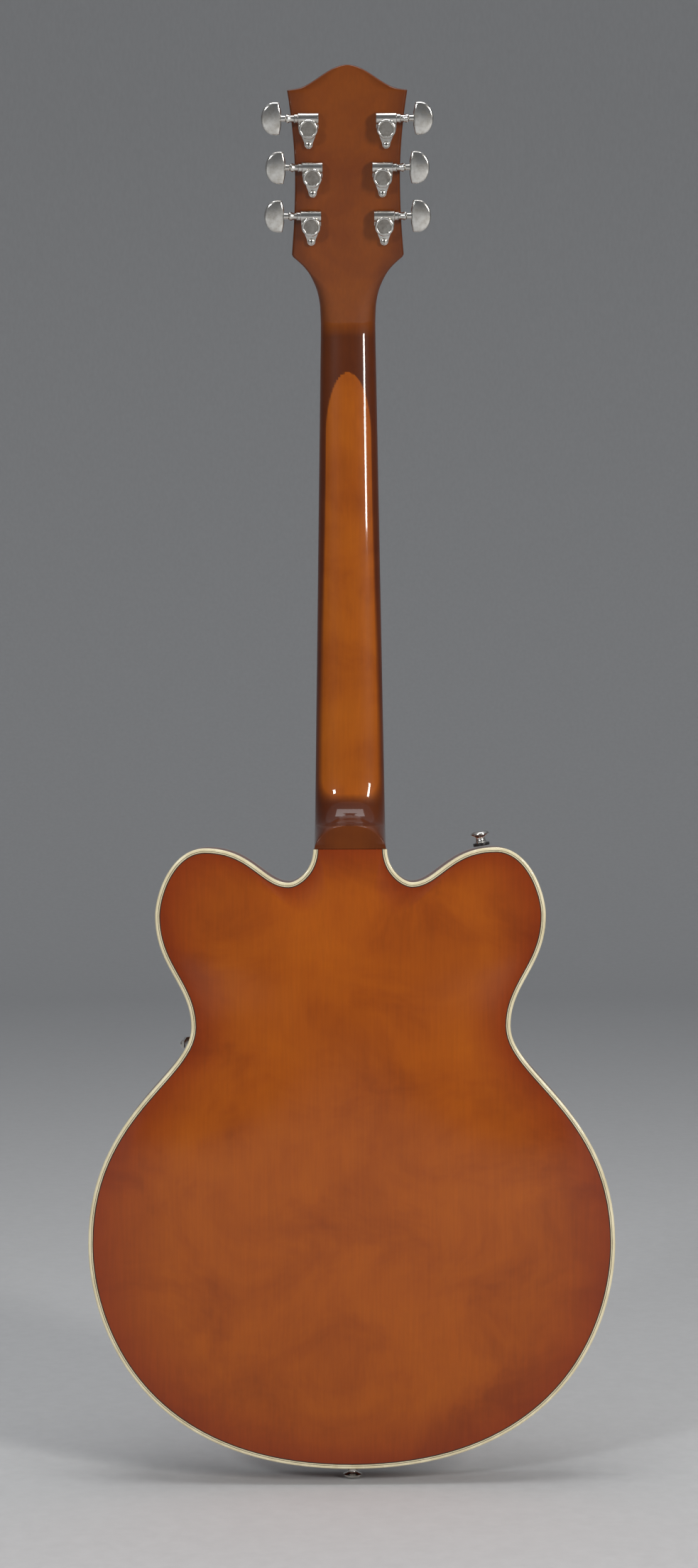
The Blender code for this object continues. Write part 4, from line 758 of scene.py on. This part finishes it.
def build_neck():
    sections, shades = [], []
    steps = 6 * FINER

    def add(section, middle, reach=0.62, soft=0.38):
        sections.append(section)
        # Each section is painted darker towards its sides: painted shade where the round back turns from the
        # light.
        half = max(abs(p.x) for p in section)
        for point in section:
            shades.append(middle * (1 - smooth_step(reach - soft, reach + soft, abs(point.x) / half)))

    for k in range(steps + 1):
        z = 17.6 * MM * (1 - (1 - k / steps) ** 2)
        cap = HEEL_CAP_HALF_WIDTH * math.sqrt(1 - (z / HEEL_CAP_HEIGHT) ** 1.6)
        depth = board_underside(z) + RIM_HALF
        place = Vector((0.0, board_underside(z), z))
        add(neck_section(board_half_width(z), depth, max(cap, 0.8 * MM), 4 * MM, place, 0.0), 0.05)
    steps = 12 * FINER
    heights = [18.2 * MM + (TONGUE_LOW - 18.2 * MM) * (k / steps) ** 2.2 for k in range(steps)]
    steps = 12 * FINER
    heights += [TONGUE_LOW + (NUT_Z - 6 * MM - TONGUE_LOW) * k / steps for k in range(steps + 1)]
    for z in heights:
        # Up to 34 to 56 mm above the heel the back stays dark: painted shade in the hollow where the shaft
        # swells into the heel.
        light = smooth_step(34 * MM, 56 * MM, z) * (0.85 if z < TONGUE_TIP else 0.0)
        tongue = max(0.0, min(1.0, (TONGUE_TIP - z) / (46 * MM)))
        reach = 0.74 * math.sqrt(1 - (1 - tongue) ** 2)
        place = Vector((0.0, board_underside(z), z))
        soft = 0.06 + 0.2 * smooth_step(300 * MM, 60 * MM, z)
        section = neck_section(board_half_width(z), shaft_depth(z), 0.8 * MM, 2 * MM, place, 0.0)
        add(section, light, reach, soft)
    rows = [2 + k * 176.4 / (22 * FINER) for k in range(22 * FINER + 1)]
    for along in [row * MM for row in rows]:
        half = head_half_width(along)
        blend = min(1.0, along / (41 * MM))
        flat = 0.8 * MM + (half - HEAD_EDGE_RADIUS - 0.8 * MM) * blend ** 1.5
        side = 2 * MM + (HEAD_THICKNESS - HEAD_EDGE_RADIUS - 2 * MM) * blend ** 1.5
        tilt = HEAD_TILT * min(1.0, 0.5 + along / (20 * MM))
        section = neck_section(half, HEAD_THICKNESS, flat, side, head_point(0.0, 0.0, along), tilt)
        add(section, 0.12, 0.9, 0.3)
    for k in range(1, 8 * FINER):
        share = 0.5 - 0.495 * math.cos(math.pi * k / (8 * FINER))
        along = HEAD_CORNER + (HEAD_LENGTH - HEAD_CORNER) * share
        half = HEAD_CREST_HALF_WIDTH / math.pi * math.acos(2 * share - 1)
        flat = max(half - HEAD_EDGE_RADIUS, half * 0.3)
        place = head_point(0.0, 0.0, along)
        side = HEAD_THICKNESS - HEAD_EDGE_RADIUS
        add(neck_section(half, HEAD_THICKNESS, flat, side, place, HEAD_TILT), 0.12, 0.9, 0.3)
    neck = mesh_of(loft(sections), "neck_fine")
    shade_verts(neck, shades)
    piece("neck_fine", neck, "neck_wood", ["neck"], angle=40)
    seat, end = RIM_HALF - BINDING_HEIGHT, -BOARD_OVER_BODY
    profile = [
        (seat, end), (board_underside(end) - GAP, end), (board_underside(0.0) - GAP, 0.0),
        (board_underside(0.0) - 4 * MM, 6 * MM), (seat, 6 * MM),
    ]
    half = BLOCK_NECK_HALF_WIDTH - GAP
    piece("neck_tongue", prism_x(profile, -half, half), "neck_wood", bevel=0.3 * MM)


DOTTED_FRETS = (3, 5, 7, 9, 12, 15, 17, 19, 21)
DOT_RADIUS = 3.2 * MM


def build_fingerboard():
    def crown(x, z):
        return board_plane(z) - (BOARD_RADIUS - math.sqrt(BOARD_RADIUS ** 2 - x ** 2))

    def section(z):
        half = board_half_width(z) - 0.2 * MM
        across = [half * (1 - k / 8) for k in range(17)]
        under = board_underside(z) + GAP
        return [(half, under, z)] + [(x, crown(x, z), z) for x in across] + [(-half, under, z)]

    top, end = NUT_Z - 0.2 * MM, -BOARD_OVER_BODY
    board = loft([section(top + (end - top) * k / 24) for k in range(25)])
    piece("board_fine", board, "fingerboard", ["fingerboard"], bevel=0.25 * MM)
    bars, dots = [], []
    slope = math.cos(NECK_ANGLE)
    places = [NUT_Z - SCALE_LENGTH * (1 - 2 ** (-fret / 12)) * slope for fret in range(FRET_COUNT + 1)]
    turns = (0.0, 0.6, 1.1, 1.57, 2.04, 2.54, math.pi)
    bow = [(FRET_HALF_WIDTH * math.cos(a), FRET_HEIGHT * math.sin(a)) for a in turns]
    for z in places[1:]:
        half = board_half_width(z) - 0.35 * MM
        loops = []
        for k in range(17):
            x = half * (1 - k / 8)
            loops.append([(x, crown(x, z) - 0.1 * MM + rise, z + wide) for wide, rise in bow])
        bars.append(loft(loops))
    piece("frets", merged(bars), "nickel")
    for fret in DOTTED_FRETS:
        z = (places[fret] + places[fret - 1]) / 2
        for x in ((-9 * MM, 9 * MM) if fret == 12 else (0.0,)):
            face = crown(x, z)
            dots.append(prism_y(arc((x, z), DOT_RADIUS, 0, 345, 23), face - 1 * MM, face + 0.05 * MM))
    piece("board_dots", merged(dots), "pearl")


# Tuners: the same sections as in the frame, with more steps, worn edges and a dull cap on each drum, coloured
# darker than the nickel as a painted dark reflection.
def half_moon(scale):
    """Outline of a button at a share of its size, with its flat side towards the headstock."""
    centre = Vector((BUTTON_INNER + BUTTON_WIDTH * 0.5, 0.0))
    points = [Vector((BUTTON_INNER, -5 * MM)), Vector((BUTTON_INNER, 5 * MM))]
    for k in range(41):
        turn = math.radians(104 - 208 * k / 40)
        bulge = math.copysign(abs(math.cos(turn)) ** 0.9, math.cos(turn))
        x = BUTTON_INNER + BUTTON_WIDTH * (0.30 + 0.70 * bulge)
        points.append(Vector((x, BUTTON_HEIGHT / 2 * math.sin(turn))))
    return [tuple(centre + (p - centre) * scale) for p in points]


BARREL_RADIUS = 4.4 * MM


def build_tuner(side, row, along, out):
    """One tuner in four pieces, on the bass side (1) or the treble side (-1)."""
    name = ("bass" if side > 0 else "treble") + f"_{row}"
    back = -HEAD_THICKNESS - GAP
    end = back - 10.3 * MM
    bore = POST_RADIUS + 0.35 * MM
    place = HEAD_PLACE @ Matrix.Translation((side * out, 0.0, along)) @ Matrix.Diagonal((side, 1, 1, 1))
    half = TUNER_HALF_WIDTH
    shaft_y, shaft_z = -TUNER_SHAFT_DEPTH, TUNER_SHAFT_ABOVE_POST
    drum = turned([
        (0, end + 0.5 * MM), (5.3 * MM, end + 0.5 * MM), (5.5 * MM, end), (6.6 * MM, end),
        (DRUM_RADIUS, end + 0.8 * MM), (DRUM_RADIUS, back), (SLEEVE_RADIUS, back), (SLEEVE_RADIUS, GAP),
        (6.2 * MM, GAP), (6.2 * MM, 1.8 * MM), (bore, 1.8 * MM), (bore, back - 1 * MM), (0, back - 1 * MM),
    ], 48)
    round_end = arc((shaft_y, shaft_z), BARREL_RADIUS, 270, 90, 24)
    barrel = [(back, shaft_z - BARREL_RADIUS)] + round_end + [(back, shaft_z + BARREL_RADIUS)]
    barrel = prism_x(barrel, -half, half)
    foot_end = -TUNER_SCREW_BELOW_POST
    foot = [(half - 0.1 * MM, shaft_z), (half - 0.1 * MM, 0.5 * MM), (3.4 * MM, foot_end + 1.5 * MM)]
    foot += arc((0.0, foot_end), 3.1 * MM, 0, -180, 16) + [(-x, z) for x, z in reversed(foot[:3])]
    foot = prism_y(foot, back - 2.4 * MM, back)
    screw = [(0, 0), (2.5 * MM, 0), (2.5 * MM, -0.9 * MM), (1.6 * MM, -1.6 * MM), (0, -1.8 * MM)]
    screw = turned(screw, 32)
    bmesh.ops.translate(screw, vec=(0.0, back - 2.2 * MM, foot_end), verts=screw.verts[:])
    housing = merged([drum, barrel, foot, screw])
    piece(f"housing_{name}", housing, "nickel", [f"tuner_housing_{name}"], place, bevel=0.25 * MM)
    cap = [(0, end + 0.1 * MM), (4.9 * MM, end + 0.2 * MM), (5.1 * MM, end + 0.6 * MM), (0, end + 0.6 * MM)]
    # A dull cap on the drum, its darker colour a painted dark reflection.
    piece(f"cap_{name}", turned(cap, 40), "cap", (), place)
    # Dark crosses on the screw heads stand for the shade in their slots: painted shade.
    deep = back - 4.05 * MM
    slot_shades = [
        box((-1.3 * MM, deep, foot_end - 0.25 * MM), (1.3 * MM, deep + 0.4 * MM, foot_end + 0.25 * MM)),
        box((-0.25 * MM, deep, foot_end - 1.3 * MM), (0.25 * MM, deep + 0.4 * MM, foot_end + 1.3 * MM)),
    ]
    piece(f"painted_slot_shade_{name}", merged(slot_shades), "dark_ply", (), place)
    worm = 5.4 * MM
    shaft = turned([
        (0, -worm), (WORM_RADIUS, -worm), (WORM_RADIUS, worm), (1.9 * MM, worm + 0.3 * MM),
        (1.9 * MM, half + GAP), (3.5 * MM, half + GAP), (3.5 * MM, half + 2.6 * MM),
        (2.7 * MM, half + 3.2 * MM), (2.7 * MM, half + 6.5 * MM),
        (3.3 * MM, half + 7.2 * MM), (3.3 * MM, half + 8.8 * MM), (2.3 * MM, half + 9.6 * MM),
        (2.6 * MM, BUTTON_INNER + 3 * MM), (0, BUTTON_INNER + 3 * MM),
    ], 32, "X")
    thick = BUTTON_THICKNESS / 2
    levels = [(0.80, -1.0), (0.90, -0.93), (0.965, -0.78), (0.995, -0.5), (1.0, 0.0)]
    levels += [(scale, -y) for scale, y in reversed(levels[:-1])]
    loops = [[(x, y * thick, z) for x, z in half_moon(scale)] for scale, y in levels]
    button = merged([shaft, loft(loops)])
    axis = place @ Matrix.Translation((0.0, shaft_y, shaft_z))
    node = f"tuner_button_{name}"
    piece(f"button_{name}", button, "nickel", [node], axis, body=node, angle=50)
    top, low, high = 20 * MM, WINDING_HEIGHT - 2.2 * MM, WINDING_HEIGHT + 2.2 * MM
    turns = []
    for k in range(5):
        level = low + (high - low) * k / 5
        turns += [
            (WINDING_RADIUS - 0.3 * MM, level), (WINDING_RADIUS, level + 0.22 * MM),
            (WINDING_RADIUS, level + 0.6 * MM),
        ]
    post = turned([(0, back + GAP), (POST_RADIUS, back + GAP), (POST_RADIUS, low)] + turns + [
        (POST_RADIUS, high), (2.5 * MM, high + 2.5 * MM), (POST_RADIUS, high + 5 * MM),
        (POST_RADIUS, top - 0.8 * MM), (2.2 * MM, top), (0, top),
    ], 32)
    node = f"tuner_post_{name}"
    piece(f"post_{name}", post, "nickel", [node], place, body=node)


def build_strap_buttons():
    lean = Vector((-math.sin(STRAP_HORN_TILT), 0.0, math.cos(STRAP_HORN_TILT)))
    start = Vector((STRAP_HORN_PLACE.x, 0.0, STRAP_HORN_PLACE.y)) + lean * 0.6 * MM
    horn = BODY_PLACE @ Matrix.Translation(start) @ Matrix.Rotation(-STRAP_HORN_TILT, 4, "Y")
    end = BODY_PLACE @ Matrix.Translation((0.0, 0.0, -BODY_LENGTH - GAP)) @ Matrix.Rotation(math.pi, 4, "X")
    wide, flange = STRAP_WASHER_RADIUS, STRAP_FLANGE_RADIUS
    for name, place in (("horn", horn), ("end", end)):
        washer = [
            (0, 0), (wide - 0.3 * MM, 0), (wide, 0.5 * MM), (wide, 2 * MM),
            (wide - 0.4 * MM, 2.4 * MM), (0, 2.4 * MM),
        ]
        piece(f"strap_washer_{name}", turned(washer, 48, "Z"), "black_plastic", (), place)
        button = turned([
            (0, 2.3 * MM), (4.9 * MM, 2.4 * MM), (4.5 * MM, 2.9 * MM), (3.9 * MM, 4 * MM),
            (3.7 * MM, 5.5 * MM),
            (3.9 * MM, 6.8 * MM), (4.6 * MM, 7.8 * MM), (6.6 * MM, 8.4 * MM), (flange, 8.8 * MM),
            (flange, 9.6 * MM), (6.6 * MM, 10.4 * MM), (4.8 * MM, 11.2 * MM), (0, 11.3 * MM),
        ], 48, "Z")
        piece(f"strap_button_fine_{name}", button, "nickel", [f"strap_button_{name}"], place, angle=50)


def build_pole_screws():
    """The screws in the covers of the pickups, seen only from the front."""
    screws = []
    for z, top in PICKUPS.values():
        for number in range(6):
            low, high, radius = top - 1 * MM, top + 0.5 * MM, 2.2 * MM
            screw = turned([(0, low), (radius, low), (radius, high), (0, high + 0.4 * MM)], 24)
            x = BRIDGE_SPREAD * 0.95 * (0.5 - number / 5)
            bmesh.ops.translate(screw, vec=(x, 0.0, z - 9 * MM), verts=screw.verts[:])
            screws.append(screw)
    piece("pole_screws", merged(screws), "nickel")


for part in frame["record"]["subparts"]:
    mesh = frame["nodes"][part["node"]].data
    mesh.materials.clear()
    mesh.materials.append(PAINT[part["material_slot"]])

build_body()
build_neck()
build_fingerboard()
for row, (along, out) in enumerate(TUNER_ROWS, start=1):
    for side in (1, -1):
        build_tuner(side, row, along, out)
build_strap_buttons()
build_pole_screws()


# Floor, backdrop, light and camera, in metres.
FLOOR_GAP = 0.001
FLOOR_RADIUS = 4.6
BEND = 3.0
WALL_TOP = 7.0
WALL_STEPS = 96
CAMERA_PLACE = (-0.0007, -2.012, -0.3916)
CAMERA_ROLL = math.radians(-0.23)
SENSOR_HEIGHT = 36.0
FOCAL_LENGTH = 59.6


def backdrop():
    """A pale round floor whose edge curves up into a wall on every side."""
    floor_z = frame_size[0][2] - FLOOR_GAP
    path = [(0.0, floor_z), (FLOOR_RADIUS, floor_z)]
    for k in range(1, 25):
        turn = k * math.pi / 48
        path.append((FLOOR_RADIUS + BEND * math.sin(turn), floor_z + BEND * (1 - math.cos(turn))))
    path.append((FLOOR_RADIUS + BEND, WALL_TOP))
    shape = bmesh.new()
    rows = []
    for radius, z in path:
        turns = [2 * math.pi * k / WALL_STEPS for k in range(WALL_STEPS)]
        rows.append([shape.verts.new((radius * math.cos(a), radius * math.sin(a), z)) for a in turns])
    for here, there in zip(rows, rows[1:]):
        for k in range(WALL_STEPS):
            ahead = (k + 1) % WALL_STEPS
            shape.faces.new((here[k], here[ahead], there[ahead], there[k]))
    bmesh.ops.remove_doubles(shape, verts=shape.verts[:], dist=1e-6)
    mesh = mesh_of(shape, "backdrop")
    mesh.shade_smooth()
    mesh.materials.append(plastic("pale backdrop", grey(0.5), grey(0.53), 0.85, 0.95))
    wall = bpy.data.objects.new("backdrop", mesh)
    bpy.context.scene.collection.objects.link(wall)


def soft_light(name, place, target, width, height, power, colour=(1.0, 1.0, 1.0)):
    lamp = bpy.data.lights.new(name, "AREA")
    lamp.shape = "RECTANGLE"
    lamp.size, lamp.size_y = width, height
    lamp.energy = power
    lamp.color = colour
    thing = bpy.data.objects.new(name, lamp)
    thing.location = place
    thing.rotation_euler = (Vector(target) - Vector(place)).to_track_quat("-Z", "Y").to_euler()
    bpy.context.scene.collection.objects.link(thing)


backdrop()
soft_light("key", (1.75, -2.1, 0.35), (0.0, 0.0, -0.45), 0.3, 1.0, 46, (1.0, 0.98, 0.95))
soft_light("fill", (-1.5, -2.6, 0.6), (0.0, 0.0, -0.5), 0.35, 0.35, 30, (0.96, 0.98, 1.0))
soft_light("top", (0.0, -0.3, 2.2), (0.0, 0.2, -0.5), 2.0, 1.4, 36)

world = bpy.data.worlds.new("studio")
world.use_nodes = True
world.node_tree.nodes["Background"].inputs["Color"].default_value = (0.72, 0.75, 0.8, 1.0)
world.node_tree.nodes["Background"].inputs["Strength"].default_value = 0.55
bpy.context.scene.world = world
bpy.context.scene.view_settings.view_transform = "Standard"

lens = bpy.data.cameras.new("camera")
lens.sensor_fit = "VERTICAL"
lens.sensor_height = SENSOR_HEIGHT
lens.lens = FOCAL_LENGTH
camera = bpy.data.objects.new("camera", lens)
turn = Matrix.Rotation(math.pi / 2, 4, "X") @ Matrix.Rotation(CAMERA_ROLL, 4, "Z")
camera.matrix_world = Matrix.Translation(CAMERA_PLACE) @ turn
bpy.context.scene.collection.objects.link(camera)
bpy.context.scene.camera = camera
